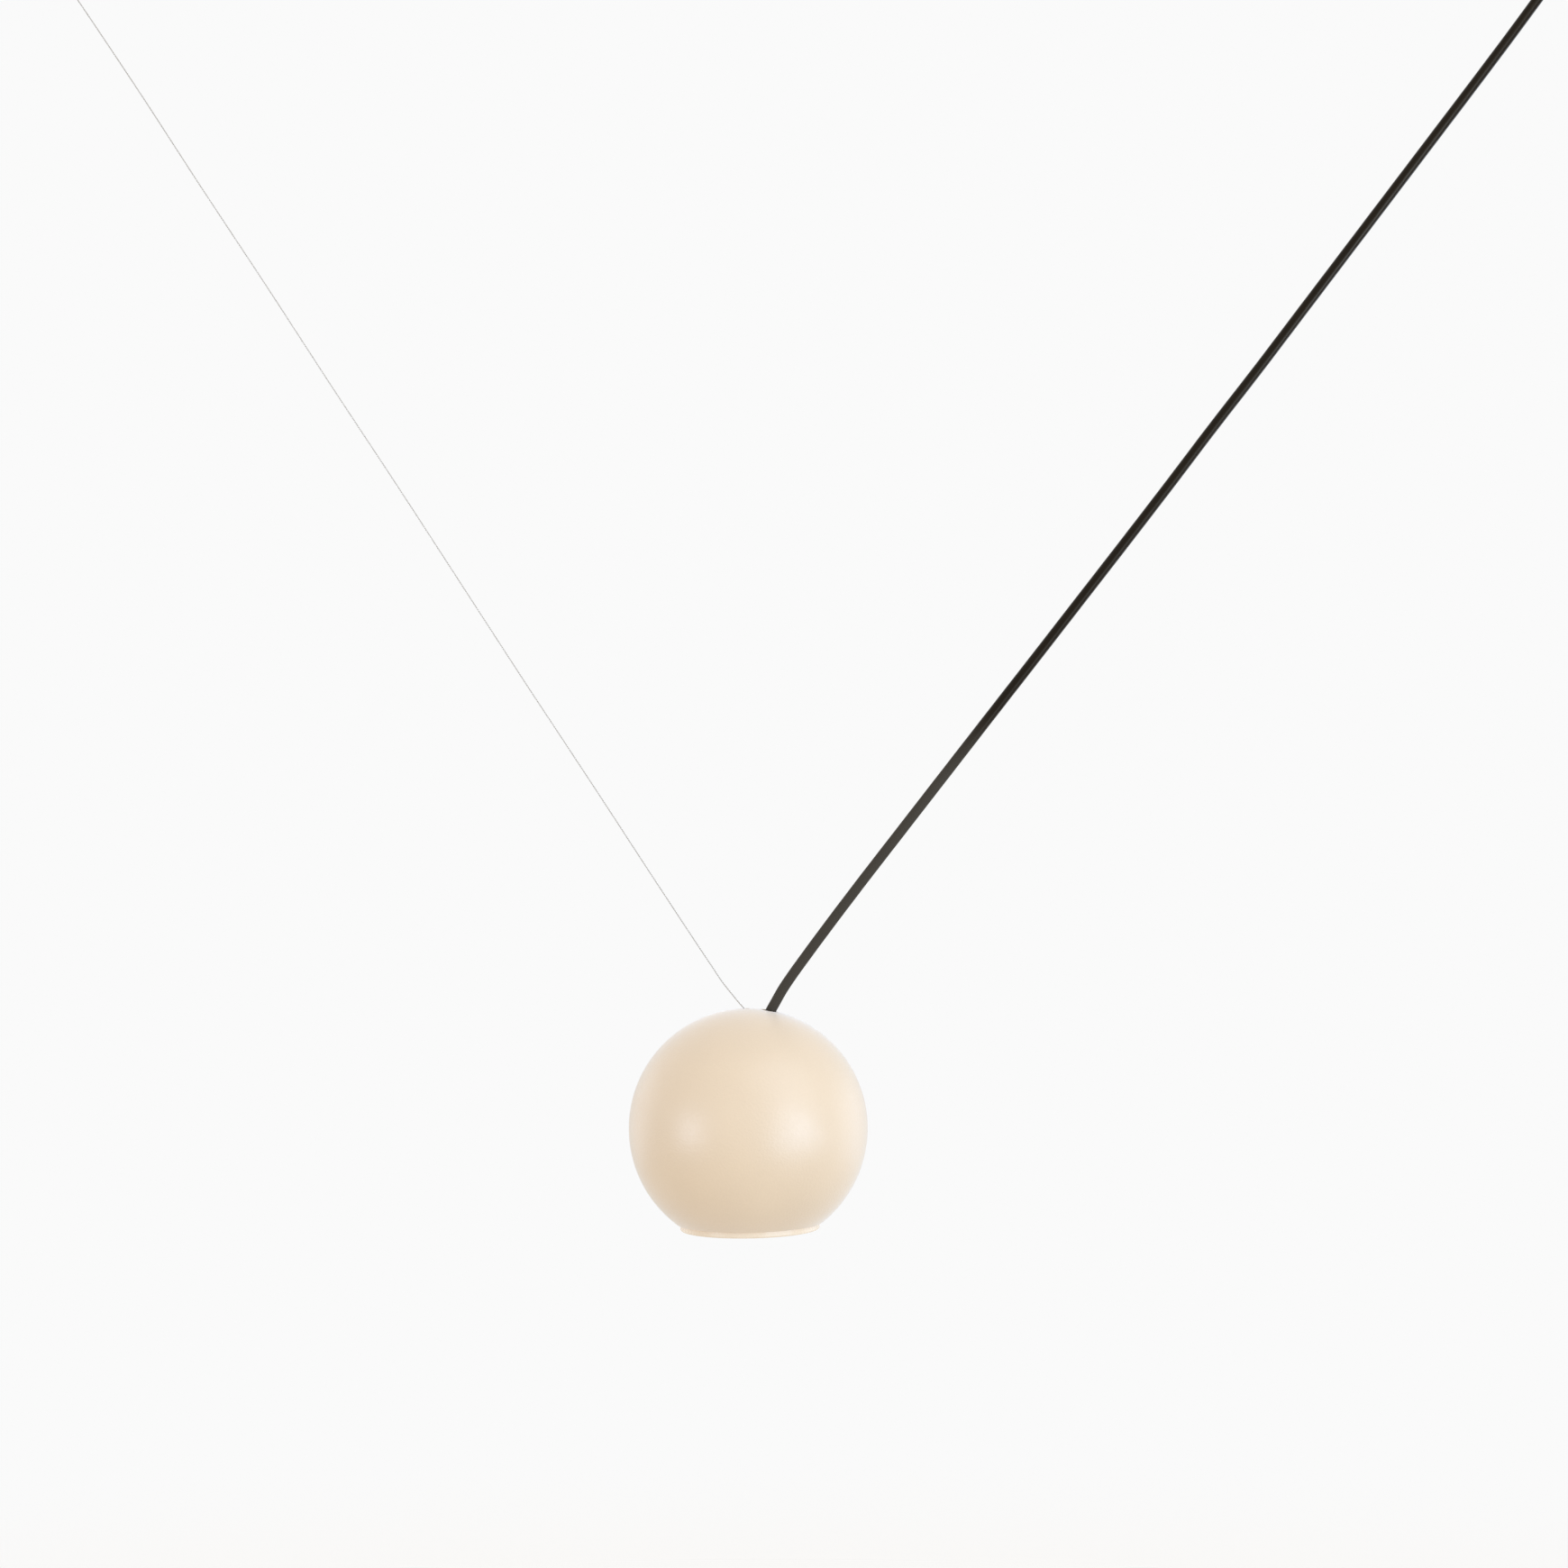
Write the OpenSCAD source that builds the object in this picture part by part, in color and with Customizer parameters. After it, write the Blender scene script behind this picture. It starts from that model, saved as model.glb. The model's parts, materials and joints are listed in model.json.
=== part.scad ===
// Globe pendant light: a small painted globe with a lamp inside, hung from the ceiling
// on a thin steel wire and drawn aside by its own black supply cable.
// Millimetres. The origin is the centre of the ceiling rose, on the ceiling. +Z is up,
// +X runs away from the wire anchor, and the globe hangs between the two ceiling fittings.

/* [Globe head] */
// Outside diameter of the globe
globe_d = 120; // [116:1:126]
// Wall thickness of the globe
globe_wall = 2; // [1.5:0.1:2.5]
// Outside diameter of the globe's edge at its mouth
mouth_d = 73.3; // [72.6:0.1:74]
// Outside diameter of the rim ring under the mouth
rim_d = 70; // [69:0.5:72]
// Height of the rim ring that shows below the globe
rim_h = 3.1; // [2.8:0.1:4]
// Lean of the head towards the wire anchor, in degrees
head_tilt = 1; // [0:0.1:2]
// Diameter of the cable hole in the globe
cable_hole_d = 8.2; // [8:0.1:9]
// Distance of the cable hole from the pole of the globe
cable_hole_x = 11.6; // [11:0.1:12]
// Diameter of the wire hole at the pole
wire_hole_d = 3.2; // [3:0.1:4]

/* [Lamp] */
// Diameter of the lamp at its front
lamp_d = 50; // [48:0.5:51]
// Distance between the two lamp pins
pin_spacing = 10; // [9.8:0.1:10.2]
// Angle that the lamp turns to lock, in degrees
lamp_turn = 16; // [12:1:20]

/* [Cords] */
// Diameter of the supply cable
cable_d = 5.2; // [4.8:0.1:5.3]
// Diameter of the steel wire
wire_d = 0.6; // [0.5:0.1:0.8]
// Diameter of one insulated core of the cable
core_d = 1.8; // [1.6:0.1:1.9]

/* [Ceiling rose] */
// Outside diameter of the rose cover
rose_d = 90; // [90:1:100]
// Height of the rose cover
rose_h = 27.2; // [27.2:0.1:27.4]
// Sheet thickness of the cover and the plate
rose_sheet = 1.5; // [1.2:0.1:1.6]
// Diameter of the ceiling plate
plate_d = 76; // [74:1:78]
// Distance between the two ceiling screws
bolt_spacing = 56; // [50:1:60]
// Diameter of the holes for the ceiling screws
bolt_hole_d = 4.5; // [4:0.1:5]
// Diameter of the hole for the supply wires
supply_hole_d = 12; // [10:0.5:14]
// Diameter of the outlet ball
outlet_ball_d = 24; // [23.8:0.1:24.2]

/* [Wire anchor] */
// Diameter of the anchor cup
anchor_d = 27; // [27:0.5:30]
// Diameter of the hole for the anchor screw
anchor_hole_d = 4.5; // [4:0.1:5]
// Diameter of the swivel ball
swivel_ball_d = 12; // [11.8:0.1:12.2]
// Diameter of the gripper body
gripper_d = 8; // [7.6:0.1:8.4]

/* [Hidden] */
$fn = 96;
// Overshoot of a cut past the face it opens
over = 1;
// Gap between two pieces that sit tight, and the play of a screw or wire in its hole
fit = 0.05;
play = 0.1;

// Places in the row frame
pivot_z = -24;
rose_pivot = [0, 0, pivot_z];
anchor_x = -796;
anchor_pivot = [anchor_x, 0, pivot_z];
globe_centre = [-430, 0, -635];
// Lean of each cord from the vertical where it leaves the ceiling
cable_lean = 37.3;
wire_lean = 33.2;

// Globe and rim ring, in the frame of the head, whose origin is the globe's centre
globe_r = globe_d / 2;
bore_r = globe_r - globe_wall;
mouth_r = mouth_d / 2;
mouth_z = -sqrt(globe_r * globe_r - mouth_r * mouth_r);
rim_r = rim_d / 2;
thread_r = rim_r - 2;
thread_gap = 0.2;
neck_wall = 1.7;
neck_h = 7;
rim_seam = 0.15;
rim_top = mouth_z - rim_seam;
rim_bottom = rim_top - rim_h;
rim_collar_h = 5;
rim_bore_r = rim_r - 4.5;
rim_lip_r = rim_r - 6;
rim_lip_h = 1.1;
rim_round = 0.8;

// Hanger stud and yoke
stud_flange_r = 7;
stud_flange_h = 2.4;
stud_shoulder_r = 4;
stud_r = 2.5;
stud_bore_r = 0.75;
stud_mouth_r = 1.5;
sheet = 1.5;
web_top = bore_r - 8.5;
web_bottom = web_top - sheet;
yoke_half = 22;
yoke_half_w = 8;
foot_reach = 7;
foot_top = web_top - 15;
foot_bottom = foot_top - sheet;
washer_r = 4.5;
washer_h = 0.8;
nut_h = 4;
nut_across = 8;
nut_top = web_bottom - washer_h;
stud_end = nut_top - nut_h - 1.7;
ferrule_r = 1.2;
ferrule_h = 6;

// Cord grip and cable end inside the head
grip_x = 10;
grip_bore_r = cable_d / 2 + play;
grip_snap_r = 4.2;
grip_flange_r = 5;
grip_flange_h = 1.5;
grip_barrel_r = 4.6;
grip_barrel_h = 8;
grip_screw_z = web_bottom - 5.2;
sheath_end = web_bottom - 9;
earth_screw_z = foot_top + 3.5;
m3_r = 1.5;
m3_head_r = 2.6;
m3_head_h = 1.6;

// Lamp holder and lamp
holder_r = 14;
holder_h = 18;
holder_bottom = foot_bottom - holder_h;
holder_screw_x = 9;
holder_screw_len = 8;
core_hole_x = 4;
core_hole_y = 6;
core_hole_depth = 4;
lamp_top = holder_bottom - 0.3;
pin_r = pin_spacing / 2;
pin_neck_r = 1.5;
pin_head_r = 2.5;
pin_neck_h = 2.9;
pin_h = 7.6;
pin_gap = 0.3;
pin_way_r = pin_head_r + 0.2;
pin_shelf = lamp_top + pin_neck_h - 0.1;
pin_room_top = lamp_top + pin_h + 1.3;
contact_h = 0.6;
cap_r = 11;
cap_h = 9.7;
lamp_r = lamp_d / 2;
lamp_wall = 1.5;
lamp_rim_h = 6;
lamp_cone_h = 29;
cone_top = lamp_top - cap_h;
lamp_rim_top = cone_top - lamp_cone_h;
lamp_face = lamp_rim_top - lamp_rim_h - 1;
lens_h = 3;
board_z = lamp_rim_top + 3;
board_h = 1.6;
board_r = 19.8;

// Baffle cone between the lamp and the rim ring
baffle_wall = 1;
baffle_top = lamp_face - 0.5;
baffle_top_r = lamp_r - 0.8;
baffle_foot = rim_bottom + rim_lip_h + 0.1;
baffle_foot_r = rim_lip_r - 0.4;
baffle_flange_h = 1;
baffle_flange_r = rim_bore_r - 0.3;

// Ceiling rose
rose_r = rose_d / 2;
cover_top = -0.3;
cover_bottom = cover_top - rose_h;
cover_round = 4;
tab_half_w = 6;
tab_y = rose_r - rose_sheet - 2.3;
tab_drop = 13;
cover_screw_z = -8;
cover_screw_len = 7;
plate_r = plate_d / 2;

// Swivel outlet
ball_r = outlet_ball_d / 2;
ball_gap = 0.15;
socket_mouth = 67.5;
socket_r = 16.3;
socket_flange_r = 19;
socket_flange_h = 2;
socket_top = 4;
socket_bottom = cover_bottom - socket_flange_h - pivot_z;
socket_nut_r = 20.5;
socket_nut_h = 3.5;
gland_stem_r = 4.2;
gland_stem_end = 22;
gland_bore_r = cable_d / 2 + 1.5 * play;
hollow_apex = -7;
hollow_floor = -4;
hollow_half_angle = 40;
seal_start = 16;
seal_r = 3.5;
sleeve_start = 17.5;
sleeve_grip_end = 27;
sleeve_end = 50;
sleeve_r = 6.5;
sleeve_tip_r = 3.4;
cable_end_rho = 1.2;

// Terminal block on the plate
block_y = 20.5;
block_w = 28;
block_d = 13;
block_h = 9.5;
pole_pitch = 9;
pole_z = -rose_sheet - 5;
insert_r = 2.2;
insert_bore_r = 1.4;
clamp_screw_r = 1.4;
clamp_screw_y = 3.4;
block_screw_x = 4.5;

// Wire anchor and gripper
anchor_r = anchor_d / 2;
anchor_base_r = anchor_r - 1.5;
anchor_base_h = 4;
anchor_cup_top = -0.6;
anchor_thread_end = -6;
anchor_waist_z = -16;
anchor_cup_bottom = pivot_z - 4;
anchor_tip_r = 9.5;
anchor_cavity_r = 7;
swivel_r = swivel_ball_d / 2;
swivel_mouth = 61;
shank_r = 1.8;
shank_end = 15;
gripper_r = gripper_d / 2;
gripper_start = 12;
gripper_end = 30;
cavity_r = 2.6;
cavity_start = 15.2;
wedge_start = 21;
wedge_end = 27;
wedge_tip_r = 1.9;
guide_r = 1.65;
grip_ball_r = 0.9;
grip_ball_rho = 24.2;
grip_ball_orbit = 1.2;
plunger_r = 1.5;
plunger_start = 25.3;
plunger_end = 37;
knob_r = 2.7;
knob_h = 3;
spring_r = 1.7;
spring_wire_r = 0.25;
spring_start = 16;
spring_end = 23;
spring_turns = 6;
wire_end_rho = 17;

// Frames: the head, and the two cords, whose +Z runs from the pivot down the cord
module at_head() {
  translate(globe_centre) rotate([0, -head_tilt, 0]) children();
}
module along_cable() {
  translate(rose_pivot) rotate([0, 180 + cable_lean, 0]) children();
}
module along_wire() {
  translate(anchor_pivot) rotate([0, 180 - wire_lean, 0]) children();
}
function head_point(p) = globe_centre + [
  p[0] * cos(head_tilt) - p[2] * sin(head_tilt),
  p[1],
  p[0] * sin(head_tilt) + p[2] * cos(head_tilt)
];
function cable_point(rho) = rose_pivot + rho * [-sin(cable_lean), 0, -cos(cable_lean)];
function wire_point(rho) = anchor_pivot + rho * [sin(wire_lean), 0, -cos(wire_lean)];

// Cable route: inside the head as [x, z] in the head's frame, then outside as [x, z] in the
// row frame, then along its axis at the rose as distances from the pivot
cable_inside = [[10, 39], [10, 44], [10, 48], [10.3, 52], [11.1, 55.5], [12.2, 58.5]];
cable_outside = [
  [-417, -573], [-413.1, -566], [-407.4, -557.5], [-400.9, -548.5], [-393.9, -539], [-375.8, -515],
  [-353.4, -486], [-330.9, -457], [-308.4, -428], [-285.8, -399], [-263.3, -370], [-240.8, -341],
  [-218.5, -312], [-196.5, -283], [-174, -254], [-152, -225], [-130, -196], [-108, -167],
  [-86, -138], [-64, -109], [-46, -85]
];
cable_top = [52, 36, 22, 10, cable_end_rho];
cable_route = concat(
  [for (p = cable_inside) head_point([p[0], 0, p[1]])],
  [for (p = cable_outside) [p[0], 0, p[1]]],
  [for (rho = cable_top) cable_point(rho)]
);

// Wire route, written the same way
wire_inside = [[0, 37], [0, 48], [0, 57], [-0.1, 57.9], [-0.3, 58.7], [-0.7, 59.5], [-1.2, 60.2]];
wire_outside = [
  [-434.4, -572.4], [-438.3, -567.7], [-442.6, -562.3], [-448.2, -554], [-475, -513.5], [-508, -463],
  [-541, -413], [-573.5, -363], [-606, -313], [-639, -263], [-671.5, -213], [-704.5, -163],
  [-737, -113], [-757, -83]
];
wire_top = [44, 34, 24, wire_end_rho];
wire_route = concat(
  [for (p = wire_inside) head_point([p[0], 0, p[1]])],
  [for (p = wire_outside) [p[0], 0, p[1]]],
  [for (rho = wire_top) wire_point(rho)]
);

// Core routes: from the sheath's end to the lamp holder, and from the rose's ball to the block
core_r = core_d / 2;
core_orbit = 1.15;
rose_core_rho = 0.3;
function holder_core(side) = [for (p = [
  [9.5, 1, sheath_end], [9.3, 1.5, sheath_end - 0.8], [8.3, 2.7, sheath_end - 1.4],
  [6.8, 4, sheath_end - 2], [5.3, 5.2, sheath_end - 3.2], [4.1, 5.9, sheath_end - 5],
  [core_hole_x, core_hole_y, sheath_end - 7], [core_hole_x, core_hole_y, sheath_end - 9]
]) head_point([p[0], side * p[1], p[2]])];
earth_core = [for (p = [
  [11.2, 0, sheath_end], [11.6, 0, sheath_end - 1.4], [12.8, 0, sheath_end - 2.5],
  [14.6, 0, sheath_end - 2.8], [16.6, 0, sheath_end - 2.4], [18.2, 0, sheath_end - 1.5],
  [19.4, 0, sheath_end - 1.2]
]) head_point(p)];
// Climb of a core from the ball to the block: share of the way to its pole, then Y and Z
core_climb = [
  [0.1, 0, -20], [0.2, 0.3, -15.5], [0.4, 1.6, -11.5], [0.7, 5, -8.4],
  [1, 9, -7], [1, 14, -6.6], [1, 18, -6.5]
];
function rose_core(turn, pole) =
  let (end = cable_point(rose_core_rho), dx = core_orbit * cos(turn), dy = core_orbit * sin(turn))
  concat(
    [end + [dx * cos(cable_lean), dy, -dx * sin(cable_lean)]],
    [for (p = core_climb)
      [dx * (1 - p[0]) + pole * pole_pitch * p[0], p[1] + dy * (1 - p[0]), p[2]]]
  );

// A round tube swept along a list of points; ref is any direction that the route never takes
function unit(v) = v / norm(v);
function heading(p, i) = unit(p[min(i + 1, len(p) - 1)] - p[max(i - 1, 0)]);
function tube_ring(p, i, r, sides, ref) =
  let (t = heading(p, i), s = unit(cross(t, ref)), u = cross(s, t))
  [for (k = [0 : sides - 1]) p[i] + r * (cos(360 * k / sides) * s + sin(360 * k / sides) * u)];
module swept_tube(p, r, sides, ref = [0, 1, 0]) {
  last = (len(p) - 1) * sides;
  polyhedron(
    points = [for (i = [0 : len(p) - 1]) each tube_ring(p, i, r, sides, ref)],
    faces = concat(
      [for (i = [0 : len(p) - 2], k = [0 : sides - 1])
        [i * sides + k, i * sides + (k + 1) % sides, (i + 1) * sides + (k + 1) % sides]],
      [for (i = [0 : len(p) - 2], k = [0 : sides - 1])
        [i * sides + k, (i + 1) * sides + (k + 1) % sides, (i + 1) * sides + k]],
      [for (k = [1 : sides - 2]) [0, k + 1, k]],
      [for (k = [1 : sides - 2]) [last, last + k, last + k + 1]]
    )
  );
}

// Shapes that repeat
module pan_screw(shaft_r, shaft_len, head_r, head_h) {
  slot_w = head_r * 0.3;
  difference() {
    union() {
      translate([0, 0, -shaft_len]) cylinder(r = shaft_r, h = shaft_len + 0.1);
      cylinder(r = head_r, h = head_h);
    }
    for (turn = [0, 90])
      rotate([0, 0, turn])
        translate([-head_r * 0.6, -slot_w / 2, head_h * 0.45])
          cube([head_r * 1.2, slot_w, head_h]);
  }
}
module hole(r, z0, z1) {
  translate([0, 0, z0]) cylinder(r = r, h = z1 - z0);
}
module tube(outer_r, inner_r, z0, z1) {
  difference() {
    hole(outer_r, z0, z1);
    hole(inner_r, z0 - over, z1 + over);
  }
}
module cone_shell(r0, z0, r1, z1, wall) {
  rotate_extrude()
    polygon([[r0 - wall, z0], [r0, z0], [r1, z1], [r1 - wall, z1]]);
}

// Ceiling rose
module rose_plate() color("silver")
  difference() {
    union() {
      hole(plate_r, -rose_sheet, 0);
      for (side = [-1, 1])
        scale_y(side) {
          translate([-tab_half_w, plate_r - 4, -rose_sheet])
            cube([2 * tab_half_w, tab_y + rose_sheet - plate_r + 4, rose_sheet]);
          translate([-tab_half_w, tab_y, -tab_drop])
            cube([2 * tab_half_w, rose_sheet, tab_drop]);
        }
    }
    hole(supply_hole_d / 2, -rose_sheet - over, over);
    for (side = [-1, 1]) {
      translate([side * bolt_spacing / 2, 0, 0]) hole(bolt_hole_d / 2, -rose_sheet - over, over);
      translate([side * block_screw_x, block_y, 0]) hole(m3_r + play, -rose_sheet - over, over);
    }
    translate([0, 0, cover_screw_z])
      rotate([90, 0, 0]) cylinder(r = m3_r + play, h = 3 * rose_r, center = true);
  }
module scale_y(side) {
  if (side > 0) children();
  else mirror([0, 1, 0]) children();
}
module rose_cover() color("ghostwhite")
  difference() {
    rotate_extrude()
      difference() {
        union() {
          translate([0, cover_bottom + cover_round]) square([rose_r, rose_h - cover_round]);
          translate([0, cover_bottom]) square([rose_r - cover_round, rose_h]);
          intersection() {
            translate([rose_r - cover_round, cover_bottom + cover_round]) circle(cover_round);
            translate([0, cover_bottom]) square([rose_r, rose_h]);
          }
        }
        translate([-over, cover_bottom + rose_sheet])
          square([rose_r - rose_sheet + over, rose_h]);
      }
    hole(socket_r + 0.2, cover_bottom - over, cover_bottom + rose_sheet + over);
    translate([0, 0, cover_screw_z])
      rotate([90, 0, 0]) cylinder(r = m3_r + 0.3, h = 3 * rose_r, center = true);
  }
module rose_cover_screws() color("dimgray")
  for (side = [-1, 1])
    translate([0, side * (rose_r + 0.1), cover_screw_z])
      rotate([-90 * side, 0, 0]) pan_screw(m3_r, cover_screw_len, m3_head_r, m3_head_h);
module outlet_socket() color("ghostwhite")
  translate(rose_pivot)
    difference() {
      union() {
        hole(socket_r, socket_bottom, socket_top);
        hole(socket_flange_r, socket_bottom, socket_bottom + socket_flange_h);
      }
      sphere(ball_r + ball_gap);
      hole(ball_r + ball_gap, 0, socket_top + over);
      translate([0, 0, socket_bottom - over])
        cylinder(r1 = (over - socket_bottom) * tan(socket_mouth), r2 = 0, h = over - socket_bottom);
    }
module socket_nut() color("silver")
  translate([0, 0, cover_bottom + rose_sheet])
    tube(socket_nut_r, socket_r + fit, 0, socket_nut_h);
module terminal_block() color("whitesmoke")
  translate([0, block_y, 0])
    difference() {
      translate([-block_w / 2, -block_d / 2, -rose_sheet - block_h]) cube([block_w, block_d, block_h]);
      for (pole = [-1 : 1])
        translate([pole * pole_pitch, 0, pole_z]) {
          rotate([90, 0, 0]) cylinder(r = insert_r + fit, h = 2 * block_d, center = true);
          for (side = [-1, 1])
            translate([0, side * clamp_screw_y, 0]) hole(clamp_screw_r + 0.3, -block_h, 0);
        }
      for (side = [-1, 1])
        translate([side * block_screw_x, 0, 0]) hole(m3_r + play, -2 * block_h, over);
    }
module terminal_inserts() color("goldenrod")
  for (pole = [-1 : 1])
    translate([pole * pole_pitch, block_y, pole_z])
      difference() {
        rotate([90, 0, 0]) cylinder(r = insert_r, h = block_d - 2, center = true);
        rotate([90, 0, 0]) cylinder(r = insert_bore_r, h = block_d, center = true);
        for (side = [-1, 1])
          translate([0, side * clamp_screw_y, 0]) hole(clamp_screw_r + fit, -block_h, 0);
      }
module terminal_screws() color("darkgray")
  for (pole = [-1 : 1], side = [-1, 1])
    translate([pole * pole_pitch, block_y + side * clamp_screw_y, pole_z - core_r - 0.1])
      rotate([180, 0, 0]) pan_screw(clamp_screw_r * 0.7, 0, clamp_screw_r, 2.8);
module block_screws() color("darkgray")
  for (side = [-1, 1])
    translate([side * block_screw_x, block_y, -rose_sheet - block_h])
      rotate([180, 0, 0]) pan_screw(m3_r, block_h + rose_sheet - 0.2, m3_head_r, m3_head_h);
module rose_live_lead() color("saddlebrown") swept_tube(rose_core(210, -1), core_r, 8, [1, 0, 0]);
module rose_earth_lead() color("yellowgreen") swept_tube(rose_core(90, 0), core_r, 8, [1, 0, 0]);
module rose_neutral_lead() color("royalblue") swept_tube(rose_core(330, 1), core_r, 8, [1, 0, 0]);

// Wire anchor on the ceiling
module anchor_base() color("silver")
  translate([anchor_x, 0, 0]) tube(anchor_base_r, anchor_hole_d / 2, -anchor_base_h, 0);
module anchor_cup() color("silver")
  translate([anchor_x, 0, 0])
    difference() {
      rotate_extrude()
        polygon([
          [0, anchor_cup_top], [anchor_r, anchor_cup_top], [anchor_r, anchor_waist_z],
          [anchor_tip_r, anchor_cup_bottom], [0, anchor_cup_bottom]
        ]);
      hole(anchor_base_r + fit, anchor_thread_end, over);
      hole(anchor_cavity_r, pivot_z, over);
      translate([0, 0, pivot_z]) {
        sphere(swivel_r + ball_gap);
        hole(swivel_r + ball_gap, 0, over);
        translate([0, 0, anchor_cup_bottom - pivot_z - over])
          cylinder(
            r1 = (pivot_z - anchor_cup_bottom + over) * tan(swivel_mouth), r2 = 0,
            h = pivot_z - anchor_cup_bottom + over
          );
      }
    }

// Cable side of the hanging assembly
module outlet_ball() color("dimgray")
  difference() {
    union() {
      translate(rose_pivot) sphere(ball_r);
      along_cable() hole(gland_stem_r, ball_r / 2, gland_stem_end);
    }
    along_cable() hole(gland_bore_r, 0, gland_stem_end + over);
    along_cable() hole(seal_r + fit, seal_start, gland_stem_end + over);
    translate(rose_pivot)
      translate([0, 0, hollow_floor])
        cylinder(
          r1 = (hollow_floor - hollow_apex) * tan(hollow_half_angle),
          r2 = (ball_r + over - hollow_apex) * tan(hollow_half_angle),
          h = ball_r + over - hollow_floor
        );
  }
module gland_seal() color("black")
  along_cable() tube(seal_r, cable_d / 2 + fit, seal_start + fit, gland_stem_end - 0.2);
module bend_sleeve() color("black")
  along_cable()
    difference() {
      union() {
        hole(sleeve_r, sleeve_start, sleeve_grip_end);
        translate([0, 0, sleeve_grip_end])
          cylinder(r1 = sleeve_r, r2 = sleeve_tip_r, h = sleeve_end - sleeve_grip_end);
      }
      hole(gland_stem_r + fit, sleeve_start - over, gland_stem_end + 0.2);
      hole(gland_bore_r, sleeve_start, sleeve_end + over);
    }
module power_cable() color("black") swept_tube(cable_route, cable_d / 2, 12);

// Wire side of the hanging assembly
module swivel_ball() color("silver") {
  translate(anchor_pivot) sphere(swivel_r);
  along_wire() hole(shank_r, swivel_r / 2, shank_end);
}
module gripper_body() color("silver")
  along_wire()
    difference() {
      hole(gripper_r, gripper_start, gripper_end);
      hole(shank_r + fit, gripper_start - over, shank_end + 0.2);
      hole(cavity_r, cavity_start, wedge_start);
      translate([0, 0, wedge_start])
        cylinder(r1 = cavity_r, r2 = wedge_tip_r, h = wedge_end - wedge_start);
      hole(guide_r, wedge_end - 0.1, gripper_end + over);
    }
function spring_point(turn) = [
  spring_r * cos(360 * turn),
  spring_r * sin(360 * turn),
  spring_start + (spring_end - spring_start) * turn / spring_turns
];
module gripper_spring() color("gray")
  along_wire()
    swept_tube([for (k = [0 : 8 * spring_turns]) spring_point(k / 8)], spring_wire_r, 6, [0, 0, 1]);
module suspension_wire() color("silver") swept_tube(wire_route, wire_d / 2, 8);
module wire_ferrule() color("silver")
  at_head() tube(ferrule_r, wire_d / 2 + fit, stud_end - ferrule_h, stud_end - fit);
module gripper_plunger() color("gainsboro")
  along_wire()
    difference() {
      union() {
        hole(plunger_r, plunger_start, plunger_end);
        hole(knob_r, plunger_end - knob_h, plunger_end);
      }
      hole(wire_d / 2 + 1.5 * play, plunger_start - over, plunger_end + over);
    }
module gripper_balls() color("gray")
  along_wire()
    for (turn = [0 : 120 : 240])
      rotate([0, 0, turn]) translate([grip_ball_orbit, 0, grip_ball_rho]) sphere(grip_ball_r);

// Globe head
module globe_shell() color("antiquewhite")
  at_head()
    difference() {
      union() {
        difference() {
          sphere(globe_r);
          sphere(bore_r);
        }
        hole(thread_r + thread_gap + neck_wall, mouth_z, mouth_z + neck_h);
      }
      hole(2 * globe_r, -2 * globe_r, mouth_z);
      hole(thread_r + thread_gap, -globe_r, mouth_z + neck_h + over);
      translate([cable_hole_x, 0, 0]) hole(cable_hole_d / 2, globe_r / 2, globe_r + over);
      hole(wire_hole_d / 2, globe_r / 2, globe_r + over);
    }
module hanger_stud() color("silver")
  at_head()
    difference() {
      union() {
        intersection() {
          sphere(bore_r - fit);
          hole(stud_flange_r, bore_r - stud_flange_h, bore_r);
        }
        hole(stud_shoulder_r, web_top, bore_r - stud_flange_h);
        hole(stud_r, stud_end, web_top);
      }
      hole(stud_bore_r, stud_end - over, bore_r + over);
      translate([0, 0, bore_r - stud_flange_h])
        cylinder(r1 = stud_bore_r, r2 = stud_mouth_r, h = stud_flange_h);
    }
module stud_washer() color("silver")
  at_head() tube(washer_r, stud_r + fit, nut_top, web_bottom);
module stud_nut() color("silver")
  at_head()
    difference() {
      translate([0, 0, nut_top - nut_h]) cylinder(r = nut_across / sqrt(3), h = nut_h, $fn = 6);
      hole(stud_r + fit, nut_top - nut_h - over, nut_top + over);
    }
module lamp_yoke() color("lightgray")
  at_head()
    difference() {
      union() {
        translate([-yoke_half, -yoke_half_w, web_bottom]) cube([2 * yoke_half, 2 * yoke_half_w, sheet]);
        for (side = [-1, 1]) {
          translate([side * (yoke_half - sheet / 2), 0, (web_top + foot_bottom) / 2])
            cube([sheet, 2 * yoke_half_w, web_top - foot_bottom], center = true);
          translate([side * (yoke_half + foot_reach) / 2, 0, foot_top - sheet / 2])
            cube([yoke_half - foot_reach, 2 * yoke_half_w, sheet], center = true);
        }
      }
      hole(stud_r + play, web_bottom - over, web_top + over);
      translate([grip_x, 0, 0]) hole(grip_snap_r + play, web_bottom - over, web_top + over);
      for (side = [-1, 1])
        translate([side * holder_screw_x, 0, 0]) hole(m3_r + play, foot_bottom - over, foot_top + over);
      translate([yoke_half / 2, 0, earth_screw_z]) rotate([0, 90, 0]) hole(m3_r + fit, 0, yoke_half);
    }
module cord_grip() color("white")
  at_head()
    difference() {
      translate([grip_x, 0, 0]) {
        hole(grip_snap_r, web_bottom - 0.1, web_top + 0.5);
        hole(grip_flange_r, web_bottom - grip_flange_h, web_bottom);
        hole(grip_barrel_r, web_bottom - grip_barrel_h, web_bottom - grip_flange_h + 0.1);
      }
      translate([grip_x, 0, 0]) hole(grip_bore_r, 0, globe_r);
      translate([grip_x, 0, grip_screw_z]) rotate([0, 90, 0]) hole(m3_r + fit, 0, 2 * grip_barrel_r);
    }
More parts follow.
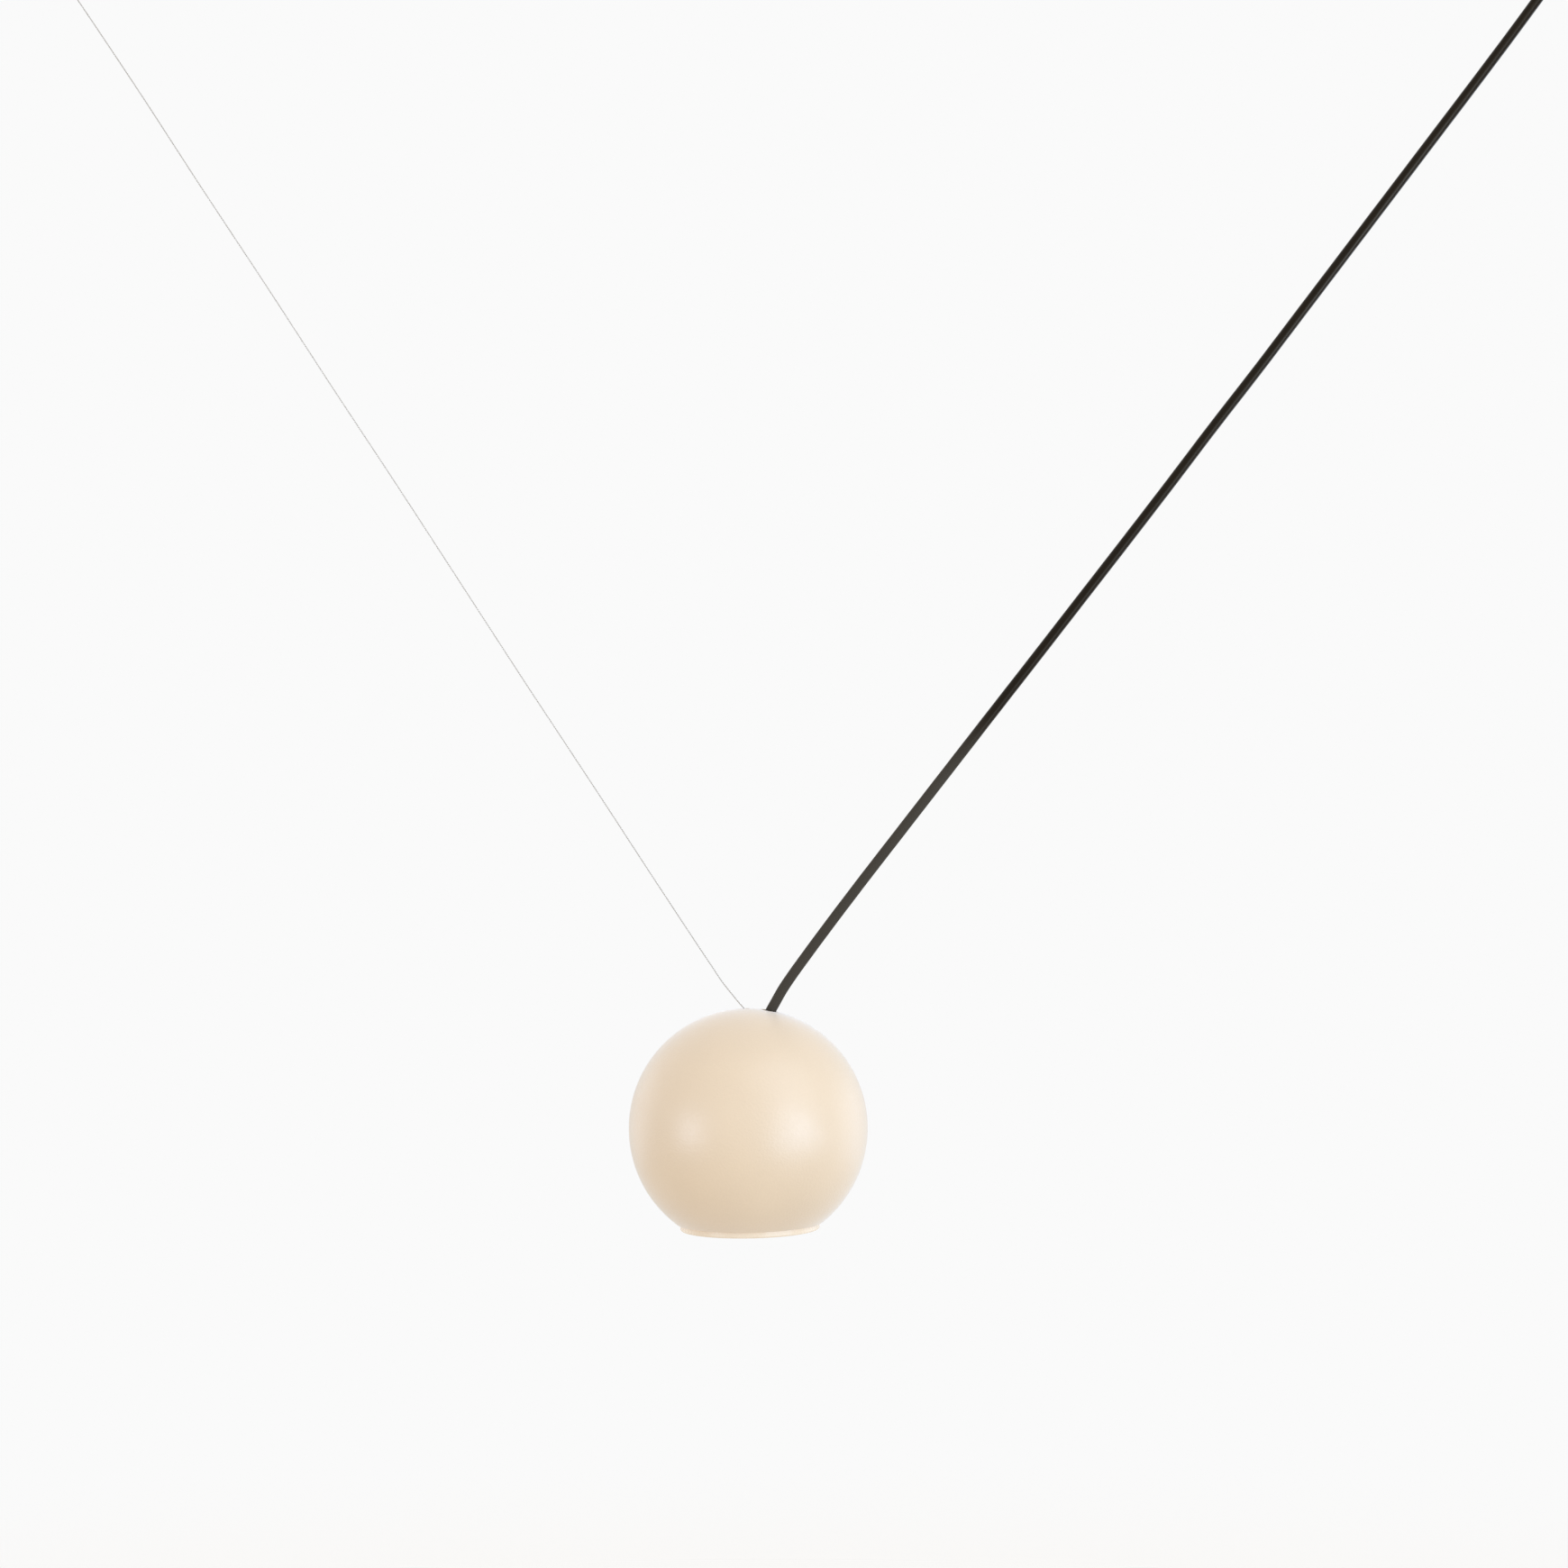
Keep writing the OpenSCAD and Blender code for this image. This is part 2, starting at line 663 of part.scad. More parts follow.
module cord_grip_screw() color("silver")
  at_head()
    translate([grip_x + grip_barrel_r + 0.3, 0, grip_screw_z])
      rotate([0, 90, 0]) pan_screw(m3_r, 2.1, m3_head_r, m3_head_h);
module head_live_lead() color("saddlebrown") swept_tube(holder_core(1), core_r, 8, [1, 0, 0]);
module head_neutral_lead() color("royalblue") swept_tube(holder_core(-1), core_r, 8, [1, 0, 0]);
module head_earth_lead() color("yellowgreen") swept_tube(earth_core, core_r, 8, [0, 1, 0]);
module earth_screw() color("goldenrod")
  at_head()
    translate([yoke_half - sheet, 0, earth_screw_z])
      rotate([0, -90, 0]) pan_screw(m3_r, sheet + 2, m3_head_r, m3_head_h);

// Lamp holder; its slots run back from the locked place of each pin to the way in
module pin_slot(half_w, z0, z1) {
  end_angle = asin(half_w / pin_r);
  rotate([0, 0, -lamp_turn - end_angle])
    rotate_extrude(angle = lamp_turn + 2 * end_angle)
      translate([pin_r - half_w, z0]) square([2 * half_w, z1 - z0]);
}
module lamp_holder() color("oldlace")
  at_head()
    difference() {
      hole(holder_r, holder_bottom, foot_bottom);
      for (half = [0, 180])
        rotate([0, 0, half]) {
          pin_slot(pin_neck_r + pin_gap, holder_bottom - over, pin_shelf + over);
          pin_slot(pin_head_r + pin_gap, pin_shelf, pin_room_top);
          rotate([0, 0, -lamp_turn])
            translate([pin_r, 0, 0]) hole(pin_way_r, holder_bottom - over, pin_shelf + over);
        }
      for (side = [-1, 1]) {
        translate([side * holder_screw_x, 0, 0])
          hole(m3_r + fit, foot_bottom - holder_screw_len, foot_bottom + over);
        translate([core_hole_x, side * core_hole_y, 0])
          hole(core_r + 0.2, foot_bottom - core_hole_depth, foot_bottom + over);
      }
    }
module holder_contacts() color("goldenrod")
  at_head()
    for (half = [0, 180])
      rotate([0, 0, half])
        translate([pin_r, 0, pin_room_top - contact_h - fit]) cylinder(r = pin_head_r, h = contact_h);
module holder_screws() color("silver")
  at_head()
    for (side = [-1, 1])
      translate([side * holder_screw_x, 0, foot_top])
        pan_screw(m3_r, sheet + holder_screw_len - 1, m3_head_r, m3_head_h);

// Lamp: it locks in the holder with a part turn
module lamp_cap() color("white")
  at_head()
    rotate_extrude()
      polygon([
        [0, cone_top + fit], [cap_r, cone_top + fit], [cap_r, lamp_top - 1],
        [cap_r - 1, lamp_top], [0, lamp_top]
      ]);
module lamp_pins() color("silver")
  at_head()
    for (side = [-1, 1])
      translate([side * pin_r, 0, 0]) {
        hole(pin_neck_r, lamp_top + 0.02, lamp_top + pin_h);
        hole(pin_head_r, lamp_top + pin_neck_h, lamp_top + pin_h);
      }
module lamp_body() color("white")
  at_head()
    rotate_extrude()
      polygon([
        [0, cone_top], [cap_r + 0.5, cone_top], [lamp_r - 0.4, lamp_rim_top], [lamp_r, lamp_rim_top],
        [lamp_r, lamp_face + 0.4], [lamp_r - 0.4, lamp_face], [lamp_r - lamp_wall, lamp_face],
        [lamp_r - lamp_wall, lamp_face + lens_h], [lamp_r - 2 * lamp_wall, lamp_face + lens_h],
        [lamp_r - 2 * lamp_wall, lamp_rim_top], [cap_r - lamp_wall, cone_top - lamp_wall],
        [0, cone_top - lamp_wall]
      ]);
module lamp_board() color("khaki")
  at_head() hole(board_r, board_z, board_z + board_h);
module lamp_lens() color("lightcyan")
  at_head() hole(lamp_r - lamp_wall - fit, lamp_face + 0.1, lamp_face + lens_h - fit);

// Rim: the ring screws into the neck and carries the baffle
module baffle() color("antiquewhite")
  at_head() {
    cone_shell(baffle_top_r, baffle_top, baffle_foot_r, baffle_foot + 0.1, baffle_wall);
    tube(baffle_flange_r, baffle_foot_r - baffle_wall, baffle_foot, baffle_foot + baffle_flange_h);
  }
module rim_ring() color("linen")
  at_head()
    rotate_extrude()
      difference() {
        union() {
          translate([rim_lip_r, rim_bottom + rim_round])
            square([rim_r - rim_lip_r, rim_h - rim_round]);
          translate([rim_lip_r, rim_bottom]) square([rim_r - rim_lip_r - rim_round, rim_h]);
          translate([rim_r - rim_round, rim_bottom + rim_round]) circle(rim_round);
          translate([rim_bore_r, rim_top - over])
            square([thread_r - rim_bore_r, rim_collar_h + over]);
        }
        translate([0, rim_bottom + rim_lip_h]) square([rim_bore_r, 2 * rim_h]);
      }

rose_plate();
rose_cover();
rose_cover_screws();
outlet_socket();
socket_nut();
terminal_block();
terminal_inserts();
terminal_screws();
block_screws();
rose_live_lead();
rose_neutral_lead();
rose_earth_lead();
anchor_base();
anchor_cup();
outlet_ball();
gland_seal();
bend_sleeve();
power_cable();
swivel_ball();
gripper_body();
gripper_spring();
suspension_wire();
wire_ferrule();
globe_shell();
hanger_stud();
stud_washer();
stud_nut();
lamp_yoke();
cord_grip();
cord_grip_screw();
head_live_lead();
head_neutral_lead();
head_earth_lead();
earth_screw();
lamp_holder();
holder_contacts();
holder_screws();
gripper_plunger();
gripper_balls();
lamp_cap();
lamp_pins();
lamp_body();
lamp_board();
lamp_lens();
baffle();
rim_ring();
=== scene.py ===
# %% [markdown]
# # A globe pendant light
#
# The object is a small cream globe with a lamp inside. A thin steel wire carries it from a
# cup on the ceiling, and its own black supply cable draws it aside from a ceiling rose.
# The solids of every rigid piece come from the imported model, at their real size and place.
# This lesson adds what a solid modeller is poor at: the two cords, small turned and ribbed
# pieces with soft edges, the finish of every surface, and the light they are seen in.

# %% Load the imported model
import json
import math

import bpy
import numpy as np
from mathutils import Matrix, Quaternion, Vector


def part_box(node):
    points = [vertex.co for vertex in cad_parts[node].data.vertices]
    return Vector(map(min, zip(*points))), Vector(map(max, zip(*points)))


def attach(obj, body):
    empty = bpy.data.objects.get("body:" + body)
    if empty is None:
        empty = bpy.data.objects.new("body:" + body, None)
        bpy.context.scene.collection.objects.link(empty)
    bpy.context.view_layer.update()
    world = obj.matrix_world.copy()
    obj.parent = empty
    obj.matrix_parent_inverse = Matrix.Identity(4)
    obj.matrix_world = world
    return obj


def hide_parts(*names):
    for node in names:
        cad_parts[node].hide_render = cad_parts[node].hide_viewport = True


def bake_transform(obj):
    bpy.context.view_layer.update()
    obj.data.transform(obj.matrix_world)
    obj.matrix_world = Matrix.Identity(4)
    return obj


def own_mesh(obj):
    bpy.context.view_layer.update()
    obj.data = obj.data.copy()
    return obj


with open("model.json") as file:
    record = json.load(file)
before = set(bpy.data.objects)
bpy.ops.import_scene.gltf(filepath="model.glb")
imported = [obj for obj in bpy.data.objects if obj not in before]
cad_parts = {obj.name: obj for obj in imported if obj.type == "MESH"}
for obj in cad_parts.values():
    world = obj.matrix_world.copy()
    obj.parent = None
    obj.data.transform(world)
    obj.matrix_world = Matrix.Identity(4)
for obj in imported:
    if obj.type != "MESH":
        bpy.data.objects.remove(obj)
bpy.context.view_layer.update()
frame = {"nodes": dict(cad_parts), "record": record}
nodes = frame["nodes"]
scene = bpy.context.scene

# %% [markdown]
# ## Camera
#
# The globe gives the scale: it is 120 mm across, and its picture is 265 pixels wide in a
# frame of 1740. The rim ring under it shows as a flat ellipse, seen from about eight degrees
# above, which puts a level camera 1.62 m away and a little above the globe. The camera could
# also be found by trial, but then nothing would tie the picture to the real size.

# %% Camera
PICTURE_PIXELS = 1740
GLOBE_PIXEL_X, GLOBE_PIXEL_Y = 830.4, 1251.6
GLOBE_PIXELS_WIDE = 265.0
CAMERA_BACK = 1.62
SENSOR_MM = 36.0

GLOBE_CENTRE = np.array([-0.430, 0.0, -0.635])
globe_low, globe_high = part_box("globe_shell")
metres_per_pixel = (globe_high.y - globe_low.y) / GLOBE_PIXELS_WIDE


def make_camera():
    """A level camera that looks along +Y and puts the globe on its pixel."""
    data = bpy.data.cameras.new("camera")
    data.sensor_width = SENSOR_MM
    data.lens = SENSOR_MM * CAMERA_BACK / (PICTURE_PIXELS * metres_per_pixel)
    camera = bpy.data.objects.new("camera", data)
    right = (PICTURE_PIXELS / 2 - GLOBE_PIXEL_X) * metres_per_pixel
    above = (GLOBE_PIXEL_Y - PICTURE_PIXELS / 2) * metres_per_pixel
    camera.location = Vector(GLOBE_CENTRE) + Vector((right, -CAMERA_BACK, above))
    camera.rotation_euler = (math.pi / 2, 0, 0)
    scene.collection.objects.link(camera)
    scene.camera = camera
    return camera


camera = make_camera()
print(f"camera at {[round(c, 3) for c in camera.location]}, lens {camera.data.lens:.1f} mm")

# %% [markdown]
# ## From numbers to a mesh
#
# Every new piece is a grid of points. A row is one loop round the piece and the rows follow
# each other along it, so one small function can turn any such grid into a closed mesh: a
# quad between each four neighbours, and a flat face over each open end. A second function
# draws a smooth line through given points, and a third carries a profile along it.
# Blender's own curve objects could do the tubes, but not the strands of a wire. Each new piece
# then takes the place of a solid, and moves with the same body.

# %% Grid to mesh
def grid_piece(name, grid, loop_rows=False):
    """One closed mesh from grid[row, column]: quads between neighbours, columns joined round.

    Rows are joined round too when loop_rows is true, and otherwise the ends get flat faces.
    The UV map holds the share of the way round, and the metres along the rows.
    Faces point outwards: the sum of p0 . (p1 x p2) over all corners is made positive."""
    rows, columns, _ = grid.shape
    index = np.arange(rows * columns).reshape(rows, columns)
    step = np.linalg.norm(np.roll(grid[:, 0], -1, axis=0) - grid[:, 0], axis=1)
    along = np.concatenate([[0.0], np.cumsum(step)])
    spans = rows if loop_rows else rows - 1
    below = np.roll(index, -1, axis=0)
    ahead, below_ahead = np.roll(index, -1, axis=1), np.roll(below, -1, axis=1)
    quads = np.stack([index, below, below_ahead, ahead], axis=-1)[:spans].reshape(-1, 4)
    row, column = np.divmod(np.arange(spans * columns), columns)
    u = np.stack([column, column, column + 1, column + 1], axis=-1) / columns
    v = along[np.stack([row, row + 1, row + 1, row], axis=-1)]
    points = grid.reshape(-1, 3)
    corner = points[quads] - points.mean(axis=0)
    volume = np.einsum("ij,ij->", corner[:, 0], np.cross(corner[:, 1], corner[:, 2]))
    volume += np.einsum("ij,ij->", corner[:, 0], np.cross(corner[:, 2], corner[:, 3]))
    turn = -1 if volume < 0 else 1
    faces = quads[:, ::turn].tolist()
    ends = [] if loop_rows else [index[0, ::turn].tolist(), index[-1, ::-turn].tolist()]
    mesh = bpy.data.meshes.new(name)
    mesh.from_pydata(points, [], faces + ends)
    uv = np.zeros((len(mesh.loops), 2))
    uv[: quads.size, 0] = u[:, ::turn].ravel()
    uv[: quads.size, 1] = v[:, ::turn].ravel()
    mesh.uv_layers.new(name="along").data.foreach_set("uv", uv.ravel())
    smooth = np.arange(len(mesh.polygons)) < len(faces)
    mesh.polygons.foreach_set("use_smooth", smooth)
    piece = bpy.data.objects.new(name, mesh)
    scene.collection.objects.link(piece)
    return piece


# %% Smooth lines and carried profiles
def smooth_line(points, step):
    """A cubic line through the points, cut into even steps.

    On each span p = h00 p0 + h10 m0 + h01 p1 + h11 m1, the Hermite form, with each slope m
    taken from the neighbours on both sides."""
    points = np.asarray(points, float)
    spans = np.linalg.norm(np.diff(points, axis=0), axis=1)
    along = np.concatenate([[0.0], np.cumsum(spans)])
    slope = np.gradient(points, along, axis=0)
    at = np.linspace(0.0, along[-1], round(along[-1] / step) + 1)
    i = np.clip(np.searchsorted(along, at, side="right") - 1, 0, len(spans) - 1)
    t = ((at - along[i]) / spans[i])[:, None]
    reach = spans[i][:, None]
    start = (1 + 2 * t) * (1 - t) ** 2 * points[i] + t * (1 - t) ** 2 * reach * slope[i]
    return start + t * t * (3 - 2 * t) * points[i + 1] + t * t * (t - 1) * reach * slope[i + 1]


def line_length(line):
    """The sum of the steps along a line."""
    return np.linalg.norm(np.diff(line, axis=0), axis=1).sum()


def carry(line, profile, ref):
    """A profile carried along a line: point = line + x side + y up, square to the heading.

    The profile is one loop of [x, y], or one loop for each row. ref is any direction that
    the line never takes."""
    heading = np.gradient(line, axis=0)
    heading /= np.linalg.norm(heading, axis=1, keepdims=True)
    side = np.cross(heading, ref)
    side /= np.linalg.norm(side, axis=1, keepdims=True)
    up = np.cross(side, heading)
    x, y = profile[..., 0, None], profile[..., 1, None]
    return line[:, None] + x * side[:, None] + y * up[:, None]


def angles(columns):
    """Even angles round a circle, one for each column."""
    return np.arange(columns) * 2 * math.pi / columns


def polar(radius, angle):
    """Points [radius cos angle, radius sin angle]."""
    return np.stack([radius * np.cos(angle), radius * np.sin(angle)], axis=-1)


# %% A piece in the place of a solid
def stand_for(piece, node, body):
    """The piece rides a body and stands for a solid, which it hides."""
    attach(piece, body)
    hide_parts(node)
    print(f"{piece.name}: {len(piece.data.polygons)} faces")


# %% [markdown]
# ## Where the cords run
#
# The head leans by one degree, and each cord leaves the ceiling along its own lean. Points
# inside the head are written in the head's frame as [x, z], free points in the model's
# frame as [x, z], and the last ones as distances down the cord from its ceiling pivot. One
# frame for all would do, but a point is easier to check in the frame of what holds it.

# %% The three frames
HEAD_TILT = math.radians(1.0)
ROSE_PIVOT = np.array([0.0, 0.0, -0.024])
ANCHOR_PIVOT = np.array([-0.796, 0.0, -0.024])
CABLE_LEAN = math.radians(37.3)
WIRE_LEAN = math.radians(33.2)
CABLE_DOWN = np.array([-math.sin(CABLE_LEAN), 0.0, -math.cos(CABLE_LEAN)])
WIRE_DOWN = np.array([math.sin(WIRE_LEAN), 0.0, -math.cos(WIRE_LEAN)])
HEAD_X = np.array([math.cos(HEAD_TILT), 0.0, math.sin(HEAD_TILT)])
HEAD_Z = np.array([-math.sin(HEAD_TILT), 0.0, math.cos(HEAD_TILT)])
WORLD_Y = np.array([0.0, 1.0, 0.0])


def in_head(points):
    """Head frame [x, y, z] to the model's frame: centre + x HEAD_X + y Y + z HEAD_Z."""
    points = np.asarray(points, float)
    return GLOBE_CENTRE + points @ np.stack([HEAD_X, WORLD_Y, HEAD_Z])


def flat(points):
    """Points [x, z] as [x, 0, z]: both cords hang in the plane of the picture."""
    points = np.asarray(points, float)
    return np.stack([points[:, 0], np.zeros(len(points)), points[:, 1]], axis=-1)


def down(pivot, heading, distances):
    """Points at these distances down a cord from its ceiling pivot."""
    return pivot + np.asarray(distances, float)[:, None] * heading


print(f"ceiling pivots {np.linalg.norm(ROSE_PIVOT - ANCHOR_PIVOT):.3f} m apart")

# %% [markdown]
# ## Supply cable
#
# The cable is a round black flex, 5.2 mm thick. It is clamped in the head, comes up through
# an 8 mm hole beside the pole, bends over within a few centimetres and then runs dead
# straight, because it is what pulls the globe aside. At the top it goes through a tapered
# sleeve into the swivel ball of the rose. A jacket like this is pressed over three twisted
# cores, which leave a faint long twist in it: three low waves round, one turn in 60 mm. A
# bevelled curve would be a plain tube, so a profile that turns is carried along the line.

# %% Supply cable
CABLE_D = 0.0052
CORES = 3
CORE_TWIST = 0.060
CORE_SHOW = 0.006
CABLE_STEP = 0.002
CABLE_COLUMNS = 36

cable_inside = [[0.0100, 0.0390], [0.0100, 0.0440], [0.0100, 0.0480], [0.0103, 0.0520],
                [0.0111, 0.0555], [0.0122, 0.0585]]
cable_outside = [
    [-0.4170, -0.5730], [-0.4131, -0.5660], [-0.4074, -0.5575], [-0.4009, -0.5485],
    [-0.3939, -0.5390], [-0.3758, -0.5150], [-0.3534, -0.4860], [-0.3309, -0.4570],
    [-0.3084, -0.4280], [-0.2858, -0.3990], [-0.2633, -0.3700], [-0.2408, -0.3410],
    [-0.2185, -0.3120], [-0.1965, -0.2830], [-0.1740, -0.2540], [-0.1520, -0.2250],
    [-0.1300, -0.1960], [-0.1080, -0.1670], [-0.0860, -0.1380], [-0.0640, -0.1090],
    [-0.0460, -0.0850],
]
cable_top = [0.0520, 0.0360, 0.0220, 0.0100, 0.0012]
cable_route = np.concatenate([
    in_head(flat(cable_inside)),
    flat(cable_outside),
    down(ROSE_PIVOT, CABLE_DOWN, cable_top),
])


def twisted_jacket(line):
    """One loop per row: radius (1 - show (1 - cos 3(a - turn)) / 2), turning along the line."""
    row_turn = np.arange(len(line))[:, None] * CABLE_STEP / CORE_TWIST * 2 * math.pi
    angle = angles(CABLE_COLUMNS)
    wave = (1 - np.cos(CORES * (angle - row_turn))) / 2
    return polar(CABLE_D / 2 * (1 - CORE_SHOW * wave), angle)


cable_line = smooth_line(cable_route, CABLE_STEP)
supply_cable = grid_piece("supply_cable", carry(cable_line, twisted_jacket(cable_line), WORLD_Y))
stand_for(supply_cable, "power_cable", "pendant")
print(f"supply cable {line_length(cable_line):.3f} m long")

# %% [markdown]
# ## Suspension wire
#
# The globe hangs on a steel wire only 0.6 mm thick. Such a wire is a strand of seven: six
# outer wires laid round a straight one. Seen across, its outline is six round lobes, and the
# lobes climb round once in 6.5 mm. A plain tube would pass in the picture, but close up the
# lay is what says steel wire, so the profile turns as it travels.

# %% Suspension wire
WIRE_D = 0.0006
WIRE_LAY = 0.0065
LAY_STEPS = 14
STRANDS = 6
STRAND_COLUMNS = 4

wire_inside = [[0.0, 0.0370], [0.0, 0.0480], [0.0, 0.0570], [-0.0001, 0.0579],
               [-0.0003, 0.0587], [-0.0007, 0.0595], [-0.0012, 0.0602]]
wire_outside = [
    [-0.4344, -0.5724], [-0.4383, -0.5677], [-0.4426, -0.5623], [-0.4482, -0.5540],
    [-0.4750, -0.5135], [-0.5080, -0.4630], [-0.5410, -0.4130], [-0.5735, -0.3630],
    [-0.6060, -0.3130], [-0.6390, -0.2630], [-0.6715, -0.2130], [-0.7045, -0.1630],
    [-0.7370, -0.1130], [-0.7570, -0.0830],
]
wire_top = [0.0440, 0.0340, 0.0240, 0.0170]
wire_route = np.concatenate([
    in_head(flat(wire_inside)),
    flat(wire_outside),
    down(ANCHOR_PIVOT, WIRE_DOWN, wire_top),
])


def stranded(line, step):
    """Six lobes that turn along the line.

    A strand of radius d/6 sits d/3 out, so its far side is at
    d/3 cos g + sqrt((d/6)^2 - (d/3 sin g)^2), with g the angle from the strand's own axis."""
    angle = angles(STRANDS * STRAND_COLUMNS)
    gap = np.mod(angle + math.pi / STRANDS, 2 * math.pi / STRANDS) - math.pi / STRANDS
    out = WIRE_D / 3
    under_root = np.maximum((WIRE_D / 6) ** 2 - (out * np.sin(gap)) ** 2, 0.0)
    radius = out * np.cos(gap) + np.sqrt(under_root)
    return polar(radius, angle + np.arange(len(line))[:, None] * step / WIRE_LAY * 2 * math.pi)


wire_step = WIRE_LAY / LAY_STEPS
wire_line = smooth_line(wire_route, wire_step)
steel_wire = grid_piece("steel_wire", carry(wire_line, stranded(wire_line, wire_step), WORLD_Y))
stand_for(steel_wire, "suspension_wire", "pendant")
print(f"steel wire {line_length(wire_line):.3f} m long")

# %% [markdown]
# ## Turned pieces
#
# The wire's ceiling cup, the gripper under it and the socket of the rose are turned on a
# lathe, and a lathe hand breaks every edge a little. The broken edge is what catches the
# light, so these pieces are made again with round edges. An outline of radius and height is
# turned about an axis. Each corner of the outline becomes a short quadratic curve, and one
# more point on either side of it holds the flats flat under smooth shading. A bevel modifier
# could do this too, but it would guess which edges to take. Small sizes are in millimetres.

# %% Turning
MM = 0.001
CORNER_STEPS = 5
FLAT_HOLD = 1.5
TURNED_COLUMNS = 96
SEAT_STEPS = 9


def rounded(corners):
    """A closed outline of [r, z] from corners [r, z, cut], all in millimetres.

    On a corner p = corner + cut ((1 - t)^2 back + t^2 ahead), with back and ahead the unit
    directions to the two neighbours. A corner with a cut of 0 stays one point."""
    corners = np.asarray(corners, float) * MM
    place = corners[:, :2]
    befores, afters = np.roll(place, 1, axis=0), np.roll(place, -1, axis=0)
    t = np.linspace(0.0, 1.0, CORNER_STEPS)[:, None]
    outline = []
    for before, here, after, cut in zip(befores, place, afters, corners[:, 2]):
        back = (before - here) / np.linalg.norm(before - here)
        ahead = (after - here) / np.linalg.norm(after - here)
        curve = here + cut * ((1 - t) ** 2 * back + t ** 2 * ahead)
        held = [here + FLAT_HOLD * cut * back, curve, here + FLAT_HOLD * cut * ahead]
        outline += [np.atleast_2d(part) for part in held] if cut else [here[None]]
    return np.concatenate(outline)


def turned(name, outline, origin, axis, relief=0.0, closed=True):
    """An outline of [r, z] turned about an axis.

    point = origin + z axis + (r - relief) (cos a side + sin a up); relief is a number, or one
    for each row and column."""
    side = np.cross(axis, WORLD_Y)
    side = side / np.linalg.norm(side)
    around = polar(1.0, angles(TURNED_COLUMNS)) @ np.stack([side, np.cross(axis, side)])
    radius = np.broadcast_to(outline[:, :1] - relief, (len(outline), TURNED_COLUMNS))
    grid = origin + outline[:, 1, None, None] * axis + radius[..., None] * around
    return grid_piece(name, grid, loop_rows=closed)


def ball_seat(radius, centre_z, start_z):
    """Sharp corners on a ball of this radius, from start_z up to the height of its centre."""
    z = np.linspace(start_z, centre_z, SEAT_STEPS)
    r = np.sqrt(radius ** 2 - (z - centre_z) ** 2)
    return np.stack([r, z, 0 * z], axis=-1).tolist()


# %% [markdown]
# ## Ceiling cup and rose socket
#
# Both hold a ball that turns. The cup screws onto a base on the ceiling, narrows below and
# ends in a seat; the socket sits in the rose with a flange under the cover. Their seats are
# balls a little larger than the ball inside, so the balls show a thin dark gap all round.
# A ball could be cut out of each, but an outline with an arc in it needs no cutting.

# %% Ceiling cup
UP = np.array([0.0, 0.0, 1.0])
ANCHOR_TOP = ANCHOR_PIVOT * (1.0 - UP)
PIVOT_Z = -24.0
CUP_R, CUP_NOSE_R, CUP_MOUTH_R = 13.5, 9.5, 7.2
CUP_THREAD_R, CUP_BORE_R = 12.05, 7.0
CUP_TOP, CUP_THREAD_END, CUP_SHOULDER, CUP_END = -0.6, -6.0, -16.0, -28.0
CUP_SEAT_R, CUP_SEAT_START = 6.15, -26.98

cup_outline = rounded([
    [CUP_THREAD_R, CUP_TOP, 0.2], [CUP_R, CUP_TOP, 0.3], [CUP_R, CUP_SHOULDER, 0.8],
    [CUP_NOSE_R, CUP_END, 0.7], [CUP_MOUTH_R, CUP_END, 0.3],
    *ball_seat(CUP_SEAT_R, PIVOT_Z, CUP_SEAT_START), [CUP_BORE_R, PIVOT_Z, 0.1],
    [CUP_BORE_R, CUP_THREAD_END, 0.3], [CUP_THREAD_R, CUP_THREAD_END, 0.2],
])
ceiling_cup = turned("ceiling_cup", cup_outline, ANCHOR_TOP, UP)
stand_for(ceiling_cup, "anchor_cup", "ceiling")

# %% Rose socket
SOCKET_R, FLANGE_R, SOCKET_MOUTH_R = 16.3, 19.0, 13.28
SOCKET_TOP, FLANGE_TOP, SOCKET_END = -20.0, -27.5, -29.5
SOCKET_SEAT_R, SOCKET_SEAT_START = 12.15, -28.65

socket_outline = rounded([
    [SOCKET_R, SOCKET_TOP, 0.4], [SOCKET_R, FLANGE_TOP, 0.15], [FLANGE_R, FLANGE_TOP, 0.25],
    [FLANGE_R, SOCKET_END, 0.6], [SOCKET_MOUTH_R, SOCKET_END, 0.4],
    *ball_seat(SOCKET_SEAT_R, PIVOT_Z, SOCKET_SEAT_START), [SOCKET_SEAT_R, SOCKET_TOP, 0.4],
])
rose_socket = turned("rose_socket", socket_outline, np.zeros(3), UP)
stand_for(rose_socket, "outlet_socket", "ceiling")

# %% [markdown]
# ## Bend sleeve
#
# A rubber sleeve keeps the cable from kinking where it leaves the ball. It is moulded with
# rings and grooves that get smaller to the tip, so that it bends more and more easily. The
# grooves are a wave on a taper, and they never go deeper than half of the wall. Rings stacked
# on a cone would do too, but the real sleeve is one skin.

# %% Bend sleeve
RIBS = 8
RIB_STEPS = 10
RIB_DEPTH = 0.42
SLEEVE_R, SLEEVE_TIP_R, SLEEVE_BORE_R, NECK_HOLE_R = 6.5, 3.4, 2.75, 4.25
SLEEVE_START, NECK_HOLE_END, TAPER_START, SLEEVE_END = 17.5, 22.2, 27.0, 50.0
RIBS_START, RIBS_END = 28.0, 48.4


def sleeve_taper():
    """[r, z, 0] on the taper: r = taper - depth (taper - bore) sin^4(pi ribs s)."""
    s = np.linspace(0.0, 1.0, RIBS * RIB_STEPS + 1)
    z = RIBS_START + (RIBS_END - RIBS_START) * s
    taper = SLEEVE_R + (SLEEVE_TIP_R - SLEEVE_R) * (z - TAPER_START) / (SLEEVE_END - TAPER_START)
    r = taper - RIB_DEPTH * (taper - SLEEVE_BORE_R) * np.sin(math.pi * RIBS * s) ** 4
    return np.stack([r, z, 0 * z], axis=-1).tolist()


